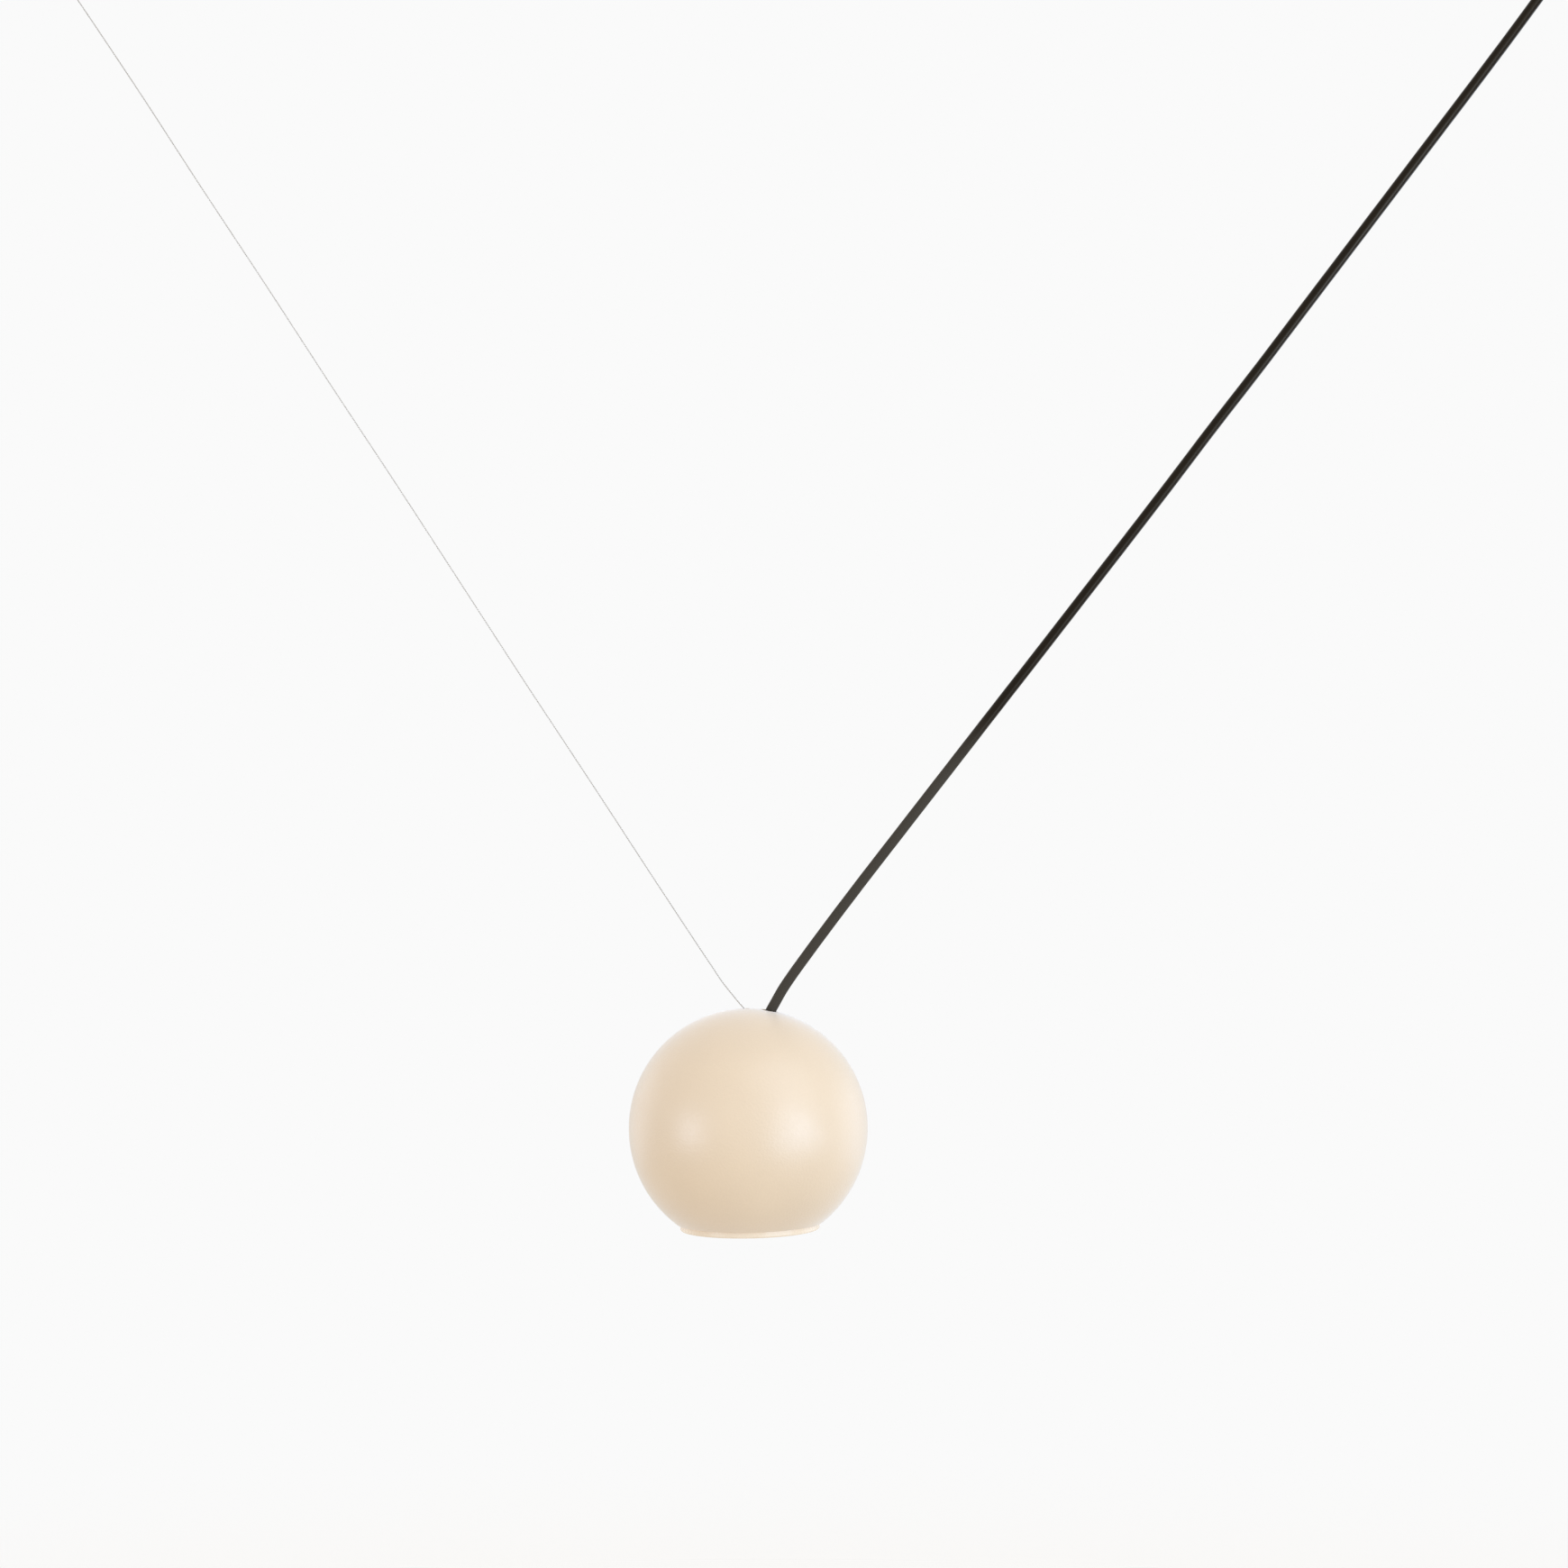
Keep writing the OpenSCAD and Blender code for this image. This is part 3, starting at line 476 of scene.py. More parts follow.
sleeve_outline = rounded([
    [NECK_HOLE_R, SLEEVE_START, 0.2], [SLEEVE_R, SLEEVE_START, 0.6], [SLEEVE_R, TAPER_START, 0.3],
    *sleeve_taper(), [SLEEVE_TIP_R, SLEEVE_END, 0.2], [SLEEVE_BORE_R, SLEEVE_END, 0.1],
    [SLEEVE_BORE_R, NECK_HOLE_END, 0.2], [NECK_HOLE_R, NECK_HOLE_END, 0.2],
])
ribbed_sleeve = turned("ribbed_sleeve", sleeve_outline, ROSE_PIVOT, CABLE_DOWN)
stand_for(ribbed_sleeve, "bend_sleeve", "pendant")

# %% [markdown]
# ## Wire gripper
#
# Three small balls in a cone hold the wire, and a spring drives them into the cone. A push
# on the knurled plunger lifts the balls and lets the wire run. The body is a turned sleeve
# with two fine grooves. The knob has 24 shallow flutes for the fingers, which could be cut one
# by one, but a wave taken off the radius makes them all at once. The spring is a round wire on
# a helix, and it can't shorten by itself.

# %% Gripper body
BODY_R, GROOVE_R = 4.0, 3.8
BODY_START, BODY_END = 12.0, 30.0
FIRST_GROOVE, SECOND_GROOVE, GROOVE_STEP = 14.0, 27.1, 0.3
BALL_STEM_HOLE_R, SPRING_ROOM_R, CONE_TIP_R, PLUNGER_HOLE_R = 1.85, 2.6, 1.9, 1.65
ROOM_START, CONE_START, CONE_TIP, PLUNGER_HOLE_START = 15.2, 21.0, 26.9, 27.0


def groove(start):
    """Four corners of a fine groove: in to GROOVE_R, along, and out to BODY_R again."""
    radii = (BODY_R, GROOVE_R, GROOVE_R, BODY_R)
    return [[r, start + i * GROOVE_STEP, 0.1] for i, r in enumerate(radii)]


body_outline = rounded([
    [BALL_STEM_HOLE_R, BODY_START, 0.2], [BODY_R, BODY_START, 0.6],
    *groove(FIRST_GROOVE), *groove(SECOND_GROOVE),
    [BODY_R, BODY_END, 0.6], [PLUNGER_HOLE_R, BODY_END, 0.2],
    [PLUNGER_HOLE_R, PLUNGER_HOLE_START, 0.1], [CONE_TIP_R, CONE_TIP, 0.05],
    [SPRING_ROOM_R, CONE_START, 0.2], [SPRING_ROOM_R, ROOM_START, 0.2],
    [BALL_STEM_HOLE_R, ROOM_START, 0.1],
])
gripper_sleeve = turned("gripper_sleeve", body_outline, ANCHOR_PIVOT, WIRE_DOWN)
stand_for(gripper_sleeve, "gripper_body", "pendant")

# %% Gripper plunger
KNOB_FLUTES = 24
FLUTE_DEPTH = 0.12
WIRE_HOLE_R, STEM_R, KNOB_R = 0.45, 1.5, 2.7
STEM_START, KNOB_START, KNOB_END = 25.3, 34.0, 37.0
FLUTED_FROM_R = 2.5

plunger_outline = rounded([
    [WIRE_HOLE_R, STEM_START, 0.1], [STEM_R, STEM_START, 0.2], [STEM_R, KNOB_START, 0.2],
    [KNOB_R, KNOB_START, 0.35], [KNOB_R, KNOB_END, 0.35], [WIRE_HOLE_R, KNOB_END, 0.1],
])
knob_rows = plunger_outline[:, :1] > FLUTED_FROM_R * MM
flute_wave = (1 - np.cos(KNOB_FLUTES * angles(TURNED_COLUMNS))) / 2
knurled_plunger = turned("knurled_plunger", plunger_outline, ANCHOR_PIVOT, WIRE_DOWN,
                         relief=FLUTE_DEPTH * MM * knob_rows * flute_wave)
stand_for(knurled_plunger, "gripper_plunger", "plunger")

# %% Gripper spring
SPRING_R, SPRING_WIRE_R = 1.7 * MM, 0.25 * MM
SPRING_START, SPRING_END = 16.0 * MM, 23.0 * MM
SPRING_TURNS = 6
SPRING_STEPS = 32
SPRING_COLUMNS = 10


def spring_line():
    """A helix: r (cos a, sin a) across the wire's line, with an even climb along it."""
    turn = np.linspace(0.0, SPRING_TURNS, SPRING_TURNS * SPRING_STEPS + 1)
    side = np.cross(WIRE_DOWN, WORLD_Y)
    across = polar(SPRING_R, 2 * math.pi * turn) @ np.stack([side, np.cross(WIRE_DOWN, side)])
    climb = SPRING_START + (SPRING_END - SPRING_START) * turn / SPRING_TURNS
    return ANCHOR_PIVOT + across + climb[:, None] * WIRE_DOWN


spring_wire = polar(SPRING_WIRE_R, angles(SPRING_COLUMNS))
coil_spring = grid_piece("coil_spring", carry(spring_line(), spring_wire, WIRE_DOWN))
stand_for(coil_spring, "gripper_spring", "pendant")
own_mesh(coil_spring)

# %% [markdown]
# ## Leads
#
# Inside the head the cable's three cores fan out: live and neutral drop into the lamp holder,
# and earth goes to a screw on the yoke. In the rose they climb out of the hollow ball to the
# terminal block. The head moves as one piece, but the rose's leads have one end in the
# swinging ball and the other in the block, so they are drawn once along a fixed route and ride
# no body. Curve objects could draw them, but a carried circle also has the UV map that the
# earth's stripe needs.

# %% Lead routes
CORE_ORBIT = 1.15
CORE_START = 0.3
POLE_PITCH = 9.0
OTHER_SIDE = np.array([1.0, -1.0, 1.0])

holder_route = np.array([
    [9.5, 1.0, 39.0], [9.3, 1.5, 38.2], [8.3, 2.7, 37.6], [6.8, 4.0, 37.0],
    [5.3, 5.2, 35.8], [4.1, 5.9, 34.0], [4.0, 6.0, 32.0], [4.0, 6.0, 30.0],
])
earth_route = np.array([
    [11.2, 0.0, 39.0], [11.6, 0.0, 37.6], [12.8, 0.0, 36.5], [14.6, 0.0, 36.2],
    [16.6, 0.0, 36.6], [18.2, 0.0, 37.5], [19.4, 0.0, 37.8],
])
rose_climb = np.array([
    [0.1, 0.0, -20.0], [0.2, 0.3, -15.5], [0.4, 1.6, -11.5], [0.7, 5.0, -8.4],
    [1.0, 9.0, -7.0], [1.0, 14.0, -6.6], [1.0, 18.0, -6.5],
])


def rose_route(turn, pole):
    """From the cable's end, out to a pole of the block: x = (1 - share) start + share pole."""
    angle = math.radians(turn)
    dx, dy = CORE_ORBIT * math.cos(angle), CORE_ORBIT * math.sin(angle)
    first = ROSE_PIVOT / MM + CORE_START * CABLE_DOWN
    first = first + [dx * math.cos(CABLE_LEAN), dy, -dx * math.sin(CABLE_LEAN)]
    share, y, z = rose_climb.T
    x = dx * (1 - share) + pole * POLE_PITCH * share
    climb = np.stack([x, y + dy * (1 - share), z], axis=-1)
    return np.concatenate([[first], climb]) * MM


# %% Leads
CORE_D = 1.8 * MM
LEAD_STEP = 0.4 * MM
LEAD_COLUMNS = 20
ACROSS = np.array([1.0, 0.0, 0.0])


def lead(name, route, ref):
    """A round lead along a route: a circle of CORE_D carried along a smooth line."""
    profile = polar(CORE_D / 2, angles(LEAD_COLUMNS))
    return grid_piece(name, carry(smooth_line(route, LEAD_STEP), profile, ref))


head_leads = {
    "head_live_lead": ("live_core", holder_route, ACROSS, "lead_brown"),
    "head_neutral_lead": ("neutral_core", holder_route * OTHER_SIDE, ACROSS, "lead_blue"),
    "head_earth_lead": ("earth_core", earth_route, WORLD_Y, "lead_green"),
}
lead_finish = {}
for node, (name, route, ref, slot) in head_leads.items():
    piece = lead(name, in_head(route * MM), ref)
    stand_for(piece, node, "pendant")
    lead_finish[piece] = slot

rose_leads = {
    "rose_live_lead": ("rose_live_core", 210.0, -1, "lead_brown"),
    "rose_neutral_lead": ("rose_neutral_core", 330.0, 1, "lead_blue"),
    "rose_earth_lead": ("rose_earth_core", 90.0, 0, "lead_green"),
}
for node, (name, turn, pole, slot) in rose_leads.items():
    piece = lead(name, rose_route(turn, pole), ACROSS)
    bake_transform(piece)
    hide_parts(node)
    lead_finish[piece] = slot
print(f"{len(lead_finish)} leads")

# %% [markdown]
# ## Lamp lens and chips
#
# The lamp looks down through a clear disc. Its inner face is moulded in rings that spread the
# light, and above it a white board carries nineteen small chips: one, a ring of six and a
# ring of twelve. The rings of the lens are a wave on the outline that is turned. A bump could
# fake them, but real rings also bend the view through the disc.

# %% Lamp lens
LENS_R, LENS_LIP_R, RINGS_R, CENTRE_R = 23.45, 22.8, 21.5, 0.25
LENS_TOP, LENS_BOTTOM = -28.05, -30.9
TOP_CUT, BOTTOM_CUT, BOTTOM_HOLD = 0.2, 0.3, 0.8
LENS_RINGS = 14
RING_STEPS = 8
RING_DEPTH = 0.35


def lens_outline():
    """From the centre of the inner face to the centre of the outer one; rings by sin^2."""
    s = np.linspace(0.0, 1.0, LENS_RINGS * RING_STEPS + 1)
    r = CENTRE_R + (RINGS_R - CENTRE_R) * s
    inner = np.stack([r, LENS_TOP - RING_DEPTH * np.sin(math.pi * LENS_RINGS * s) ** 2], axis=-1)
    edge = [[LENS_LIP_R, LENS_TOP], [LENS_R - TOP_CUT, LENS_TOP], [LENS_R, LENS_TOP - TOP_CUT],
            [LENS_R, LENS_BOTTOM + BOTTOM_CUT], [LENS_R - BOTTOM_CUT, LENS_BOTTOM],
            [LENS_R - BOTTOM_HOLD, LENS_BOTTOM], [CENTRE_R, LENS_BOTTOM]]
    return np.concatenate([inner, edge]) * MM


ringed_lens = turned("ringed_lens", lens_outline(), GLOBE_CENTRE, HEAD_Z, closed=False)
stand_for(ringed_lens, "lamp_lens", "lamp")

# %% Lamp chips
BOARD_FACE = -21.0
CHIP_SIZE = np.array([2.8, 2.8, 0.6])
CHIP_RINGS = ((7.0, 6), (14.0, 12))


def chip_places():
    """One chip in the middle, six at 7 mm and twelve at 14 mm."""
    rings = [polar(radius, angles(count)) for radius, count in CHIP_RINGS]
    flat_places = np.concatenate([[[0.0, 0.0]], *rings])
    return np.column_stack([flat_places, np.full(len(flat_places), BOARD_FACE - CHIP_SIZE[2] / 2)])


def boxes(name, centres, size):
    """Boxes of one size in the head's frame: corner = centre + sign size / 2."""
    sign = np.array([[x, y, z] for z in (-1, 1) for y in (-1, 1) for x in (-1, 1)])
    sides = np.array([[0, 2, 3, 1], [4, 5, 7, 6], [0, 1, 5, 4],
                      [2, 6, 7, 3], [0, 4, 6, 2], [1, 3, 7, 5]])
    points = in_head((centres[:, None] + sign * size / 2).reshape(-1, 3) * MM)
    faces = (sides + len(sign) * np.arange(len(centres))[:, None, None]).reshape(-1, 4)
    mesh = bpy.data.meshes.new(name)
    mesh.from_pydata(points, [], faces.tolist())
    piece = bpy.data.objects.new(name, mesh)
    scene.collection.objects.link(piece)
    return piece


lamp_chips = boxes("lamp_chips", chip_places(), CHIP_SIZE)
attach(lamp_chips, "lamp")
print(f"{len(chip_places())} chips on the board")

# %% [markdown]
# ## Shader groups
#
# Three effects come back on many pieces, so each is a node group with its own values in each
# material. Paint has a fine grain, like the skin of an orange seen from far away. Metal has
# clouds in its plating and a fine brushed lay. Moulded plastic has a soft pebbled skin.
# A group gives out only what changes over the surface: a colour, a roughness and a normal.
# The shader itself, with its constants, stays in each material. Each material could hold its
# own copy of the nodes, but then every change would be made many times.

# %% Node helpers
def add(tree, kind, settings=None, **values):
    """One node, with its settings and the values of its input sockets."""
    made = tree.nodes.new(kind)
    for key, value in (settings or {}).items():
        setattr(made, key, value)
    for key, value in values.items():
        made.inputs[key.replace("_", " ")].default_value = value
    return made


def feed(tree, socket, value):
    """A link where the value is a socket, and otherwise the socket's own value."""
    if isinstance(value, bpy.types.NodeSocket):
        tree.links.new(value, socket)
    else:
        socket.default_value = value


def math_node(tree, operation, first, second):
    """A Math node; each side is a socket or a number."""
    made = add(tree, "ShaderNodeMath", {"operation": operation})
    feed(tree, made.inputs[0], first)
    feed(tree, made.inputs[1], second)
    return made.outputs[0]


def ramp(tree, value, start, end, low, high, kind="SMOOTHSTEP"):
    """From low at start to high at end, smooth or straight, and held beyond both."""
    made = add(tree, "ShaderNodeMapRange", {"interpolation_type": kind},
               From_Min=start, From_Max=end, To_Min=low, To_Max=high)
    tree.links.new(value, made.inputs["Value"])
    return made.outputs["Result"]


def new_group(name, kinds):
    """An empty group with inputs of these kinds, giving out Color, Roughness and Normal."""
    group = bpy.data.node_groups.new(name, "ShaderNodeTree")
    for label, kind in kinds.items():
        group.interface.new_socket(label, in_out="INPUT", socket_type="NodeSocket" + kind)
    for label, kind in {"Color": "Color", "Roughness": "Float", "Normal": "Vector"}.items():
        group.interface.new_socket(label, in_out="OUTPUT", socket_type="NodeSocket" + kind)
    return group, group.nodes.new("NodeGroupInput"), group.nodes.new("NodeGroupOutput")


# %% Noise, tone and bump
NOISE_LOW, NOISE_HIGH = 0.3, 0.7
NOISE_ROUGHNESS = 0.55


def noise(tree, vector, scale, detail):
    """A Noise Texture at so many features per metre; the scale is a socket or a number."""
    made = add(tree, "ShaderNodeTexNoise", Detail=detail, Roughness=NOISE_ROUGHNESS)
    tree.links.new(vector, made.inputs["Vector"])
    feed(tree, made.inputs["Scale"], scale)
    return made.outputs[0]


def spread_of(tree, value, low, high):
    """A noise value from NOISE_LOW to NOISE_HIGH, carried to the range from low to high."""
    return ramp(tree, value, NOISE_LOW, NOISE_HIGH, low, high, "LINEAR")


def tinted(tree, color, tone):
    """A colour times a tone."""
    made = add(tree, "ShaderNodeVectorMath", {"operation": "SCALE"})
    tree.links.new(color, made.inputs[0])
    tree.links.new(tone, made.inputs["Scale"])
    return made.outputs[0]


def bumped(tree, height, depth):
    """The normal over a height from 0 to 1 that is depth metres high."""
    made = add(tree, "ShaderNodeBump")
    tree.links.new(height, made.inputs["Height"])
    tree.links.new(depth, made.inputs["Distance"])
    return made.outputs["Normal"]


# %% Paint grain
GROUPS = {}


def paint_grain_group():
    """Colour times a slow cloud and the grain; roughness and normal follow the grain."""
    group, start, end = new_group("paint_grain", {
        "Vector": "Vector", "Paint": "Color", "Roughness": "Float",
        "Grains per metre": "Float", "Depth": "Float"})
    vector = start.outputs["Vector"]
    grain = noise(group, vector, start.outputs["Grains per metre"], detail=2.0)
    cloud = noise(group, vector, scale=28.0, detail=1.0)
    tone = math_node(group, "MULTIPLY", spread_of(group, cloud, low=0.985, high=1.015),
                     spread_of(group, grain, low=0.99, high=1.01))
    group.links.new(tinted(group, start.outputs["Paint"], tone), end.inputs["Color"])
    rough = math_node(group, "MULTIPLY", start.outputs["Roughness"],
                      spread_of(group, grain, low=1.22, high=0.78))
    group.links.new(rough, end.inputs["Roughness"])
    group.links.new(bumped(group, grain, start.outputs["Depth"]), end.inputs["Normal"])
    return group


GROUPS["paint"] = paint_grain_group()
print(f"paint grain: {len(GROUPS['paint'].nodes)} nodes")


# %% Plated metal
def plated_metal_group():
    """Clouds in the plating tint the colour; a lay of fine lines sets the tone and the normal."""
    group, start, end = new_group("plated_metal", {
        "Vector": "Vector", "Lay place": "Vector", "Metal": "Color", "Roughness": "Float",
        "Lay": "Vector", "Depth": "Float"})
    cloud = noise(group, start.outputs["Vector"], scale=420.0, detail=3.0)
    stretched = add(group, "ShaderNodeVectorMath", {"operation": "MULTIPLY"})
    group.links.new(start.outputs["Lay place"], stretched.inputs[0])
    group.links.new(start.outputs["Lay"], stretched.inputs[1])
    lines = noise(group, stretched.outputs[0], scale=1.0, detail=2.0)
    tone = math_node(group, "MULTIPLY", spread_of(group, cloud, low=0.96, high=1.03),
                     spread_of(group, lines, low=0.96, high=1.03))
    group.links.new(tinted(group, start.outputs["Metal"], tone), end.inputs["Color"])
    rough = math_node(group, "MULTIPLY", start.outputs["Roughness"],
                      spread_of(group, cloud, low=1.1, high=0.92))
    group.links.new(rough, end.inputs["Roughness"])
    group.links.new(bumped(group, lines, start.outputs["Depth"]), end.inputs["Normal"])
    return group


GROUPS["metal"] = plated_metal_group()
print(f"plated metal: {len(GROUPS['metal'].nodes)} nodes")


# %% Moulded skin
def moulded_skin_group():
    """A pebbled skin from smooth cells, and a slow flow mark in the tone and the roughness."""
    group, start, end = new_group("moulded_skin", {
        "Vector": "Vector", "Plastic": "Color", "Roughness": "Float",
        "Pebbles per metre": "Float", "Depth": "Float"})
    vector = start.outputs["Vector"]
    cells = add(group, "ShaderNodeTexVoronoi", {"feature": "SMOOTH_F1"})
    group.links.new(vector, cells.inputs["Vector"])
    group.links.new(start.outputs["Pebbles per metre"], cells.inputs["Scale"])
    flow = noise(group, vector, scale=90.0, detail=3.0)
    tone = spread_of(group, flow, low=0.92, high=1.08)
    group.links.new(tinted(group, start.outputs["Plastic"], tone), end.inputs["Color"])
    rough = math_node(group, "MULTIPLY", start.outputs["Roughness"],
                      spread_of(group, flow, low=0.9, high=1.12))
    group.links.new(rough, end.inputs["Roughness"])
    normal = bumped(group, cells.outputs["Distance"], start.outputs["Depth"])
    group.links.new(normal, end.inputs["Normal"])
    return group


GROUPS["moulded"] = moulded_skin_group()
print(f"moulded skin: {len(GROUPS['moulded'].nodes)} nodes")

# %% [markdown]
# ## Finishes
#
# One material per finish. The colours are what the surface would measure in plain light,
# because the lamps below are set to a plain level too. The globe is a satin cream paint with
# a strong reflection, a pale sheen towards its edges and a fine grain that sparkles in the
# bright spots. The rim ring is a paler cream with more gloss. The fittings outside the picture
# take the cream of the globe and a satin nickel that goes with the wire, and turned pieces get
# the fine rings of a lathe. Plain shaders would pass from afar, but close up every piece would
# look like one smooth plastic.

# %% Material helpers
BRUSHED_LAY = (900.0, 900.0, 12000.0)
BRUSHED_DEPTH = 0.000004
materials = {}


def finish(name, group, values, lay_from="Object", **shader_values):
    """A material whose Principled shader takes colour, roughness and normal from a group.

    It is kept under its name in materials."""
    material = materials[name] = bpy.data.materials.new(name)
    material.use_nodes = True
    tree = material.node_tree
    shader = tree.nodes["Principled BSDF"]
    for key, value in shader_values.items():
        shader.inputs[key.replace("_", " ")].default_value = value
    place = add(tree, "ShaderNodeTexCoord")
    skin = add(tree, "ShaderNodeGroup", {"node_tree": GROUPS[group]})
    for key, value in values.items():
        skin.inputs[key].default_value = value
    tree.links.new(place.outputs["Object"], skin.inputs["Vector"])
    if "Lay place" in skin.inputs:
        tree.links.new(place.outputs[lay_from], skin.inputs["Lay place"])
    tree.links.new(skin.outputs["Color"], shader.inputs["Base Color"])
    tree.links.new(skin.outputs["Roughness"], shader.inputs["Roughness"])
    tree.links.new(skin.outputs["Normal"], shader.inputs["Normal"])
    return material


def paint(name, color, rough, grains, depth, **shader_values):
    """Paint with so many grains per metre, depth metres high."""
    values = {"Paint": (*color, 1.0), "Roughness": rough,
              "Grains per metre": grains, "Depth": depth}
    return finish(name, "paint", values, **shader_values)


def metal(name, color, rough, lay=BRUSHED_LAY, depth=BRUSHED_DEPTH, lay_from="Object"):
    """Metal with so many lines per metre on each axis of the lay's coordinates."""
    values = {"Metal": (*color, 1.0), "Roughness": rough, "Lay": lay, "Depth": depth}
    return finish(name, "metal", values, lay_from, Metallic=1.0)


def moulded(name, color, rough, pebbles, depth, **shader_values):
    """Plastic, rubber or glaze with so many pebbles per metre, depth metres high."""
    values = {"Plastic": (*color, 1.0), "Roughness": rough,
              "Pebbles per metre": pebbles, "Depth": depth}
    return finish(name, "moulded", values, **shader_values)


def varying(tree, share, first, second):
    """From the first colour to the second by a share; each is a socket or a colour."""
    made = add(tree, "ShaderNodeMix", {"data_type": "RGBA"})
    tree.links.new(share, made.inputs["Factor"])
    feed(tree, made.inputs[6], first)
    feed(tree, made.inputs[7], second)
    return made.outputs[2]


# %% [markdown]
# ## Cable jacket and striped lead
#
# The cable is a smooth black with a warm shine, which shows the lamps on its right as a soft
# grey streak. It is glossier towards the ceiling. The last 15 cm or so above the globe are
# duller, and their base colour is a paler grey: painted light, for the light that end catches.
# Both changes are smooth steps on the metres along the cable, which its UV map holds; two
# materials would meet in a hard line. The earth lead is green with a yellow stripe, from the
# share of the way round in the same map.

# %% Cable jacket and striped lead
JACKET_BLACK = (0.0008, 0.0007, 0.0006)
# Painted light: the paler grey of the cable's end near the globe stands in for the light it
# catches.
JACKET_PAINTED_LIGHT = (0.042, 0.037, 0.030, 1.0)
JACKET_SHINE = (1.0, 0.77, 0.54, 1.0)
JACKET_SKIN = (0.33, 2200.0, 0.000002)
DULL_AND_PAINTED_LIGHT_END, BLACK_START, DULL_ROUGHER = 0.165, 0.215, 1.8
GLOSS_START, GLOSS_END, GLOSS_SMOOTHER = 0.36, 0.50, 0.72
LEAD_SKIN = (0.42, 2400.0, 0.000005)
STRIPE_YELLOW = (0.62, 0.47, 0.02, 1.0)
STRIPE_HALF, STRIPE_EDGE = 0.18, 0.01


def along_and_round(material):
    """The node tree, the shader, the finish group, and the UV map split into its two sides."""
    tree = material.node_tree
    kinds = {made.bl_idname: made for made in tree.nodes}
    split = add(tree, "ShaderNodeSeparateXYZ")
    tree.links.new(kinds["ShaderNodeTexCoord"].outputs["UV"], split.inputs[0])
    return tree, kinds["ShaderNodeBsdfPrincipled"], kinds["ShaderNodeGroup"], split


def jacket(name):
    """Rougher at the globe's end, where its paler base colour is painted light, and black after a
    smooth step, in metres along the cable.

    Roughness = the skin's, times DULL_ROUGHER on that end, times GLOSS_SMOOTHER from GLOSS_END on,
    with a smooth step that begins at GLOSS_START."""
    material = moulded(name, JACKET_BLACK, *JACKET_SKIN,
                       Specular_IOR_Level=0.25, Specular_Tint=JACKET_SHINE)
    tree, shader, skin, split = along_and_round(material)
    along = split.outputs["Y"]
    # On this end the paler colour is painted light; the higher roughness is the jacket's own.
    dull_and_painted_light = ramp(tree, along, DULL_AND_PAINTED_LIGHT_END, BLACK_START, 1.0, 0.0)
    color = varying(tree, dull_and_painted_light, skin.outputs["Color"], JACKET_PAINTED_LIGHT)
    tree.links.new(color, shader.inputs["Base Color"])
    rougher = ramp(tree, dull_and_painted_light, 0.0, 1.0, 1.0, DULL_ROUGHER)
    smoother = ramp(tree, along, GLOSS_START, GLOSS_END, 1.0, GLOSS_SMOOTHER)
    rough = math_node(tree, "MULTIPLY", skin.outputs["Roughness"], rougher)
    rough = math_node(tree, "MULTIPLY", rough, smoother)
    tree.links.new(rough, shader.inputs["Roughness"])


def striped(name, color):
    """A stripe where the share round is within STRIPE_HALF of one half."""
    material = moulded(name, color, *LEAD_SKIN)
    tree, shader, skin, split = along_and_round(material)
    away = math_node(tree, "ABSOLUTE", math_node(tree, "SUBTRACT", split.outputs["X"], 0.5), 0.0)
    stripe = ramp(tree, away, STRIPE_HALF - STRIPE_EDGE, STRIPE_HALF + STRIPE_EDGE, 1.0, 0.0)
    color = varying(tree, stripe, skin.outputs["Color"], STRIPE_YELLOW)
    tree.links.new(color, shader.inputs["Base Color"])


# %% Paints, metals and plastics
CREAM = (0.77, 0.592, 0.402)
NICKEL = (0.52, 0.49, 0.445)
LATHE_LAY, LATHE_DEPTH = (0.0, 5200.0, 0.0), 0.000006

# After the colour: roughness, and on paints and plastics the grains per metre and their depth.
paint("globe_paint", CREAM, 0.39, 1000.0, 0.0001,
      Specular_IOR_Level=1.0, Sheen_Weight=0.9, Sheen_Roughness=0.4)
paint("rim_paint", (0.88, 0.725, 0.54), 0.26, 900.0, 0.000008)
paint("baffle_paint", (0.78, 0.67, 0.52), 0.6, 1800.0, 0.00003)
paint("rose_paint", CREAM, 0.42, 1500.0, 0.00003)
metal("wire_steel", (0.50, 0.47, 0.43), 0.32)
metal("zinc_steel", (0.60, 0.61, 0.63), 0.36)
metal("screw_steel", (0.46, 0.46, 0.48), 0.30)
metal("satin_nickel", NICKEL, 0.30)
metal("turned_nickel", NICKEL, 0.27, LATHE_LAY, LATHE_DEPTH, lay_from="UV")
metal("brass", (0.72, 0.50, 0.20), 0.28)
moulded("black_plastic", (0.022, 0.022, 0.023), 0.46, 2600.0, 0.000012)
moulded("black_rubber", (0.018, 0.018, 0.018), 0.68, 3200.0, 0.000012)
jacket("cable_jacket")
moulded("white_nylon", (0.80, 0.80, 0.77), 0.5, 2200.0, 0.00001)
moulded("holder_ceramic", (0.80, 0.78, 0.71), 0.28, 700.0, 0.000008)
moulded("lamp_white", (0.84, 0.84, 0.82), 0.34, 1600.0, 0.000006)
moulded("lamp_board", (0.82, 0.81, 0.76), 0.4, 1500.0, 0.000004)
moulded("lamp_lens", (0.96, 0.97, 0.97), 0.16, 900.0, 0.000012,
        Transmission_Weight=0.94, IOR=1.49)
moulded("lead_brown", (0.075, 0.028, 0.012), *LEAD_SKIN)
moulded("lead_blue", (0.012, 0.05, 0.27), *LEAD_SKIN)
striped("lead_green", (0.03, 0.22, 0.03))
moulded("chip_yellow", (0.80, 0.62, 0.10), 0.35, 3000.0, 0.000004)
print(f"{len(materials)} finishes")

# %% Dress every piece
slot_of = {part["node"]: part["material_slot"] for part in frame["record"]["subparts"]}


def dress(piece, slot):
    """The finish of this name becomes the piece's only material."""
    piece.data.materials.clear()
    piece.data.materials.append(materials[slot])


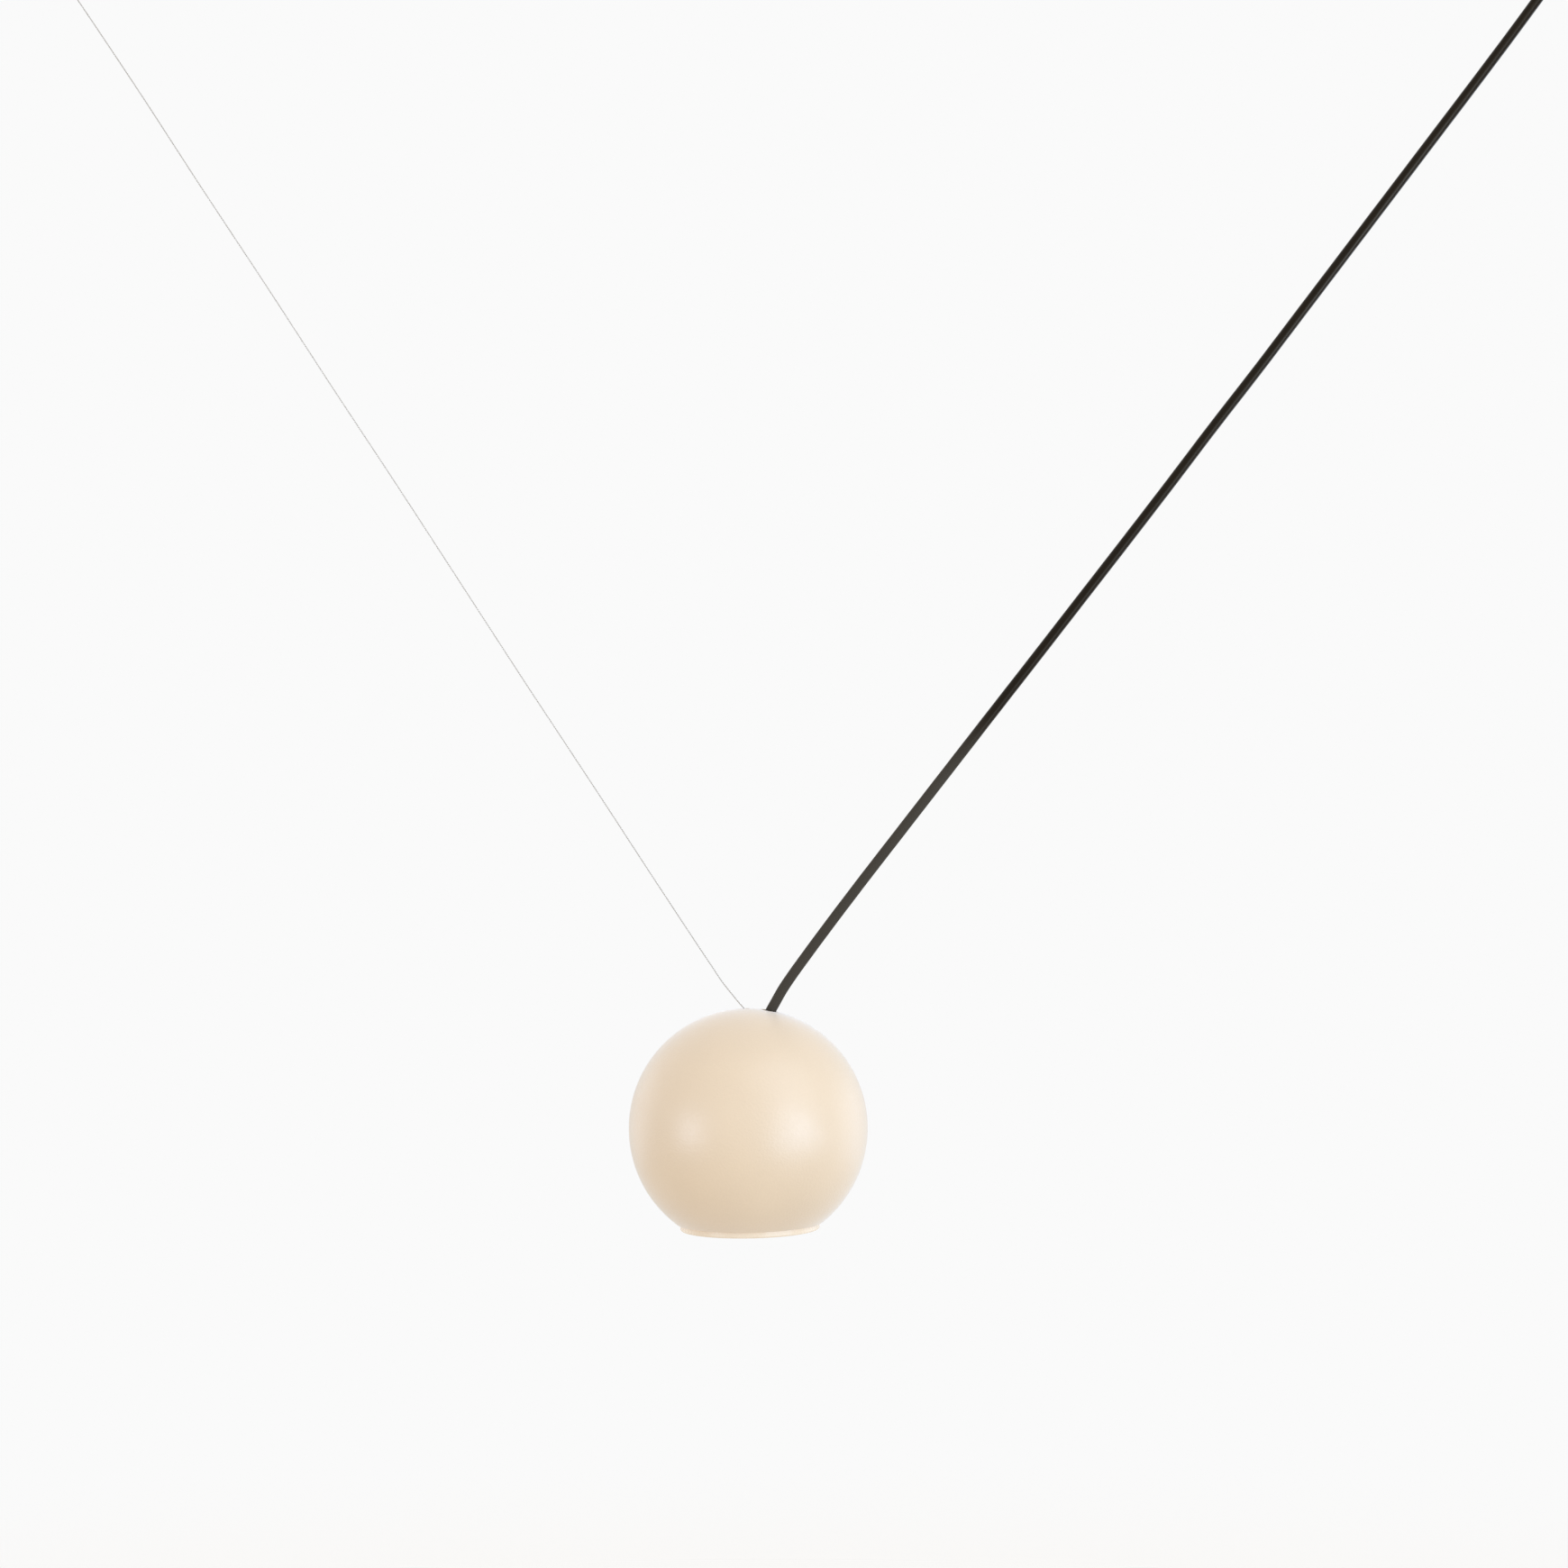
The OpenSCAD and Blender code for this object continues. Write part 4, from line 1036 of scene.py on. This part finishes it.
for name, solid in nodes.items():
    dress(solid, slot_of[name])
own_finish = {
    supply_cable: "cable_jacket", steel_wire: "wire_steel", ceiling_cup: "turned_nickel",
    rose_socket: "rose_paint", ribbed_sleeve: "black_plastic", gripper_sleeve: "turned_nickel",
    knurled_plunger: "turned_nickel", coil_spring: "screw_steel", ringed_lens: "lamp_lens",
    lamp_chips: "chip_yellow", **lead_finish,
}
for piece, name in own_finish.items():
    dress(piece, name)
print(f"dressed {len(nodes)} solids and {len(own_finish)} new pieces")

# %% [markdown]
# ## Floor, background and light
#
# The picture is a studio picture on white, with a plain bright field behind. The globe shows
# two soft spots, so one soft box stands to the right of the camera and a smaller one to the
# left, both about level with the globe. A large one higher up on the right lights the top, two
# weak ones behind give the pale edges, and a slanted strip beside the right box draws the
# streak on the cable. The lamps are a little cool and the floor is a little warm. A panorama of
# a studio could light it too, but a box can be moved until its own spot fits. The world is white
# to the camera, to reflections and to glass, and weaker as a light, so that colours come out
# about as they are written. The floor is a pale disc, a room's height below the ceiling, too low
# for the picture.

# %% Floor
FLOOR_Z = -2.45
FLOOR_R = 8.0
FLOOR_FADE = 0.55
FLOOR_RINGS = np.array([0.01, 0.3, 0.6, 1.0])
FLOOR_COLUMNS = 72
FLOOR_PALE = (0.76, 0.685, 0.58, 1.0)
FLOOR_ROUGHNESS = 0.9
GLOW_COLOR, GLOW = (0.80, 0.865, 0.95, 1.0), 0.40
FLOOR_CENTRE = np.array([GLOBE_CENTRE[0], 0.0, FLOOR_Z])


def seen(tree):
    """1 on rays from the camera, off glossy surfaces and through glass, and 0 on all others."""
    path = add(tree, "ShaderNodeLightPath")
    shown = math_node(tree, "MAXIMUM", path.outputs["Is Camera Ray"], path.outputs["Is Glossy Ray"])
    return math_node(tree, "MAXIMUM", shown, path.outputs["Is Transmission Ray"])


def floor_material():
    """A pale matt floor that fades out towards the rim of its disc."""
    material = bpy.data.materials.new("floor")
    material.use_nodes = True
    tree = material.node_tree
    shader = tree.nodes["Principled BSDF"]
    shader.inputs["Base Color"].default_value = FLOOR_PALE
    shader.inputs["Roughness"].default_value = FLOOR_ROUGHNESS
    shader.inputs["Emission Color"].default_value = GLOW_COLOR
    glow = math_node(tree, "MULTIPLY", seen(tree), GLOW)
    tree.links.new(glow, shader.inputs["Emission Strength"])
    place = add(tree, "ShaderNodeTexCoord")
    shift = add(tree, "ShaderNodeVectorMath", {"operation": "SUBTRACT"})
    tree.links.new(place.outputs["Object"], shift.inputs[0])
    shift.inputs[1].default_value = tuple(FLOOR_CENTRE)
    radius = add(tree, "ShaderNodeVectorMath", {"operation": "LENGTH"})
    tree.links.new(shift.outputs[0], radius.inputs[0])
    fade = ramp(tree, radius.outputs["Value"], FLOOR_R * FLOOR_FADE, FLOOR_R, 1.0, 0.0)
    tree.links.new(fade, shader.inputs["Alpha"])
    return material


def make_floor():
    """A disc: point = centre + r (cos a, sin a), as rings of quads round a small cap."""
    ring = np.column_stack([polar(1.0, angles(FLOOR_COLUMNS)), np.zeros(FLOOR_COLUMNS)])
    grid = FLOOR_CENTRE + (FLOOR_R * FLOOR_RINGS)[:, None, None] * ring
    index = np.arange(grid.size // 3).reshape(grid.shape[:2])
    ahead = np.roll(index, -1, axis=1)
    quads = np.stack([index[:-1], index[1:], ahead[1:], ahead[:-1]], axis=-1).reshape(-1, 4)
    mesh = bpy.data.meshes.new("floor")
    mesh.from_pydata(grid.reshape(-1, 3), [], quads.tolist() + [index[0].tolist()])
    mesh.materials.append(floor_material())
    floor = bpy.data.objects.new("floor", mesh)
    scene.collection.objects.link(floor)


make_floor()
print(f"floor {-FLOOR_Z} m below the ceiling")

# %% World
BACKGROUND = 0.956
WORLD_LIGHT = 0.80
WHITE = (1.0, 1.0, 1.0, 1.0)


def make_world():
    """White to camera, glossy and transmission rays, and a weaker white as a light."""
    world = bpy.data.worlds.new("studio")
    world.use_nodes = True
    tree = world.node_tree
    field = tree.nodes["Background"]
    field.inputs["Color"].default_value = WHITE
    extra = math_node(tree, "MULTIPLY", seen(tree), BACKGROUND - WORLD_LIGHT)
    tree.links.new(math_node(tree, "ADD", extra, WORLD_LIGHT), field.inputs["Strength"])
    scene.world = world


make_world()
scene.view_settings.view_transform = "Standard"
print(f"world light {WORLD_LIGHT}, background {BACKGROUND}")

# %% Soft boxes
LAMP_TINT = (0.86, 1.0, 1.24)
RIGHT_TINT = (0.78, 1.04, 1.42)


def soft_box(name, degrees, rise, distance, width, height, watts, tint=LAMP_TINT, roll=0.0):
    """An area light that faces the globe from this far away, in metres.

    It stands so many degrees round to the right of the camera's side, rises by so much for
    each metre out, and is rolled by so many degrees about the line to the globe."""
    turn = math.radians(degrees)
    data = bpy.data.lights.new(name, "AREA")
    data.shape = "RECTANGLE"
    data.size = width
    data.size_y = height
    data.energy = watts
    data.color = tint
    light = bpy.data.objects.new(name, data)
    out = Vector((math.sin(turn), -math.cos(turn), rise)).normalized()
    light.location = Vector(GLOBE_CENTRE) + distance * out
    facing = (-out).to_track_quat("-Z", "Y")
    light.rotation_euler = (facing @ Quaternion((0.0, 0.0, 1.0), math.radians(roll))).to_euler()
    light.visible_camera = False
    scene.collection.objects.link(light)


# Degrees, rise, distance, width, height and watts.
soft_box("key_box", 50.0, 0.90, 1.5, 1.3, 1.3, 4.4)
soft_box("right_box", 42.0, -0.07, 1.35, 0.78, 0.64, 3.5, RIGHT_TINT)
soft_box("streak_box", 54.0, 0.10, 1.58, 1.25, 0.24, 3.8, RIGHT_TINT, roll=-42.0)
soft_box("left_box", -55.0, 0.02, 1.35, 0.48, 0.56, 3.2)
soft_box("back_left_box", -124.0, 0.05, 1.5, 1.0, 1.0, 1.7)
soft_box("back_right_box", 118.0, 0.0, 1.5, 1.0, 1.0, 2.4, RIGHT_TINT)
print("six soft boxes")
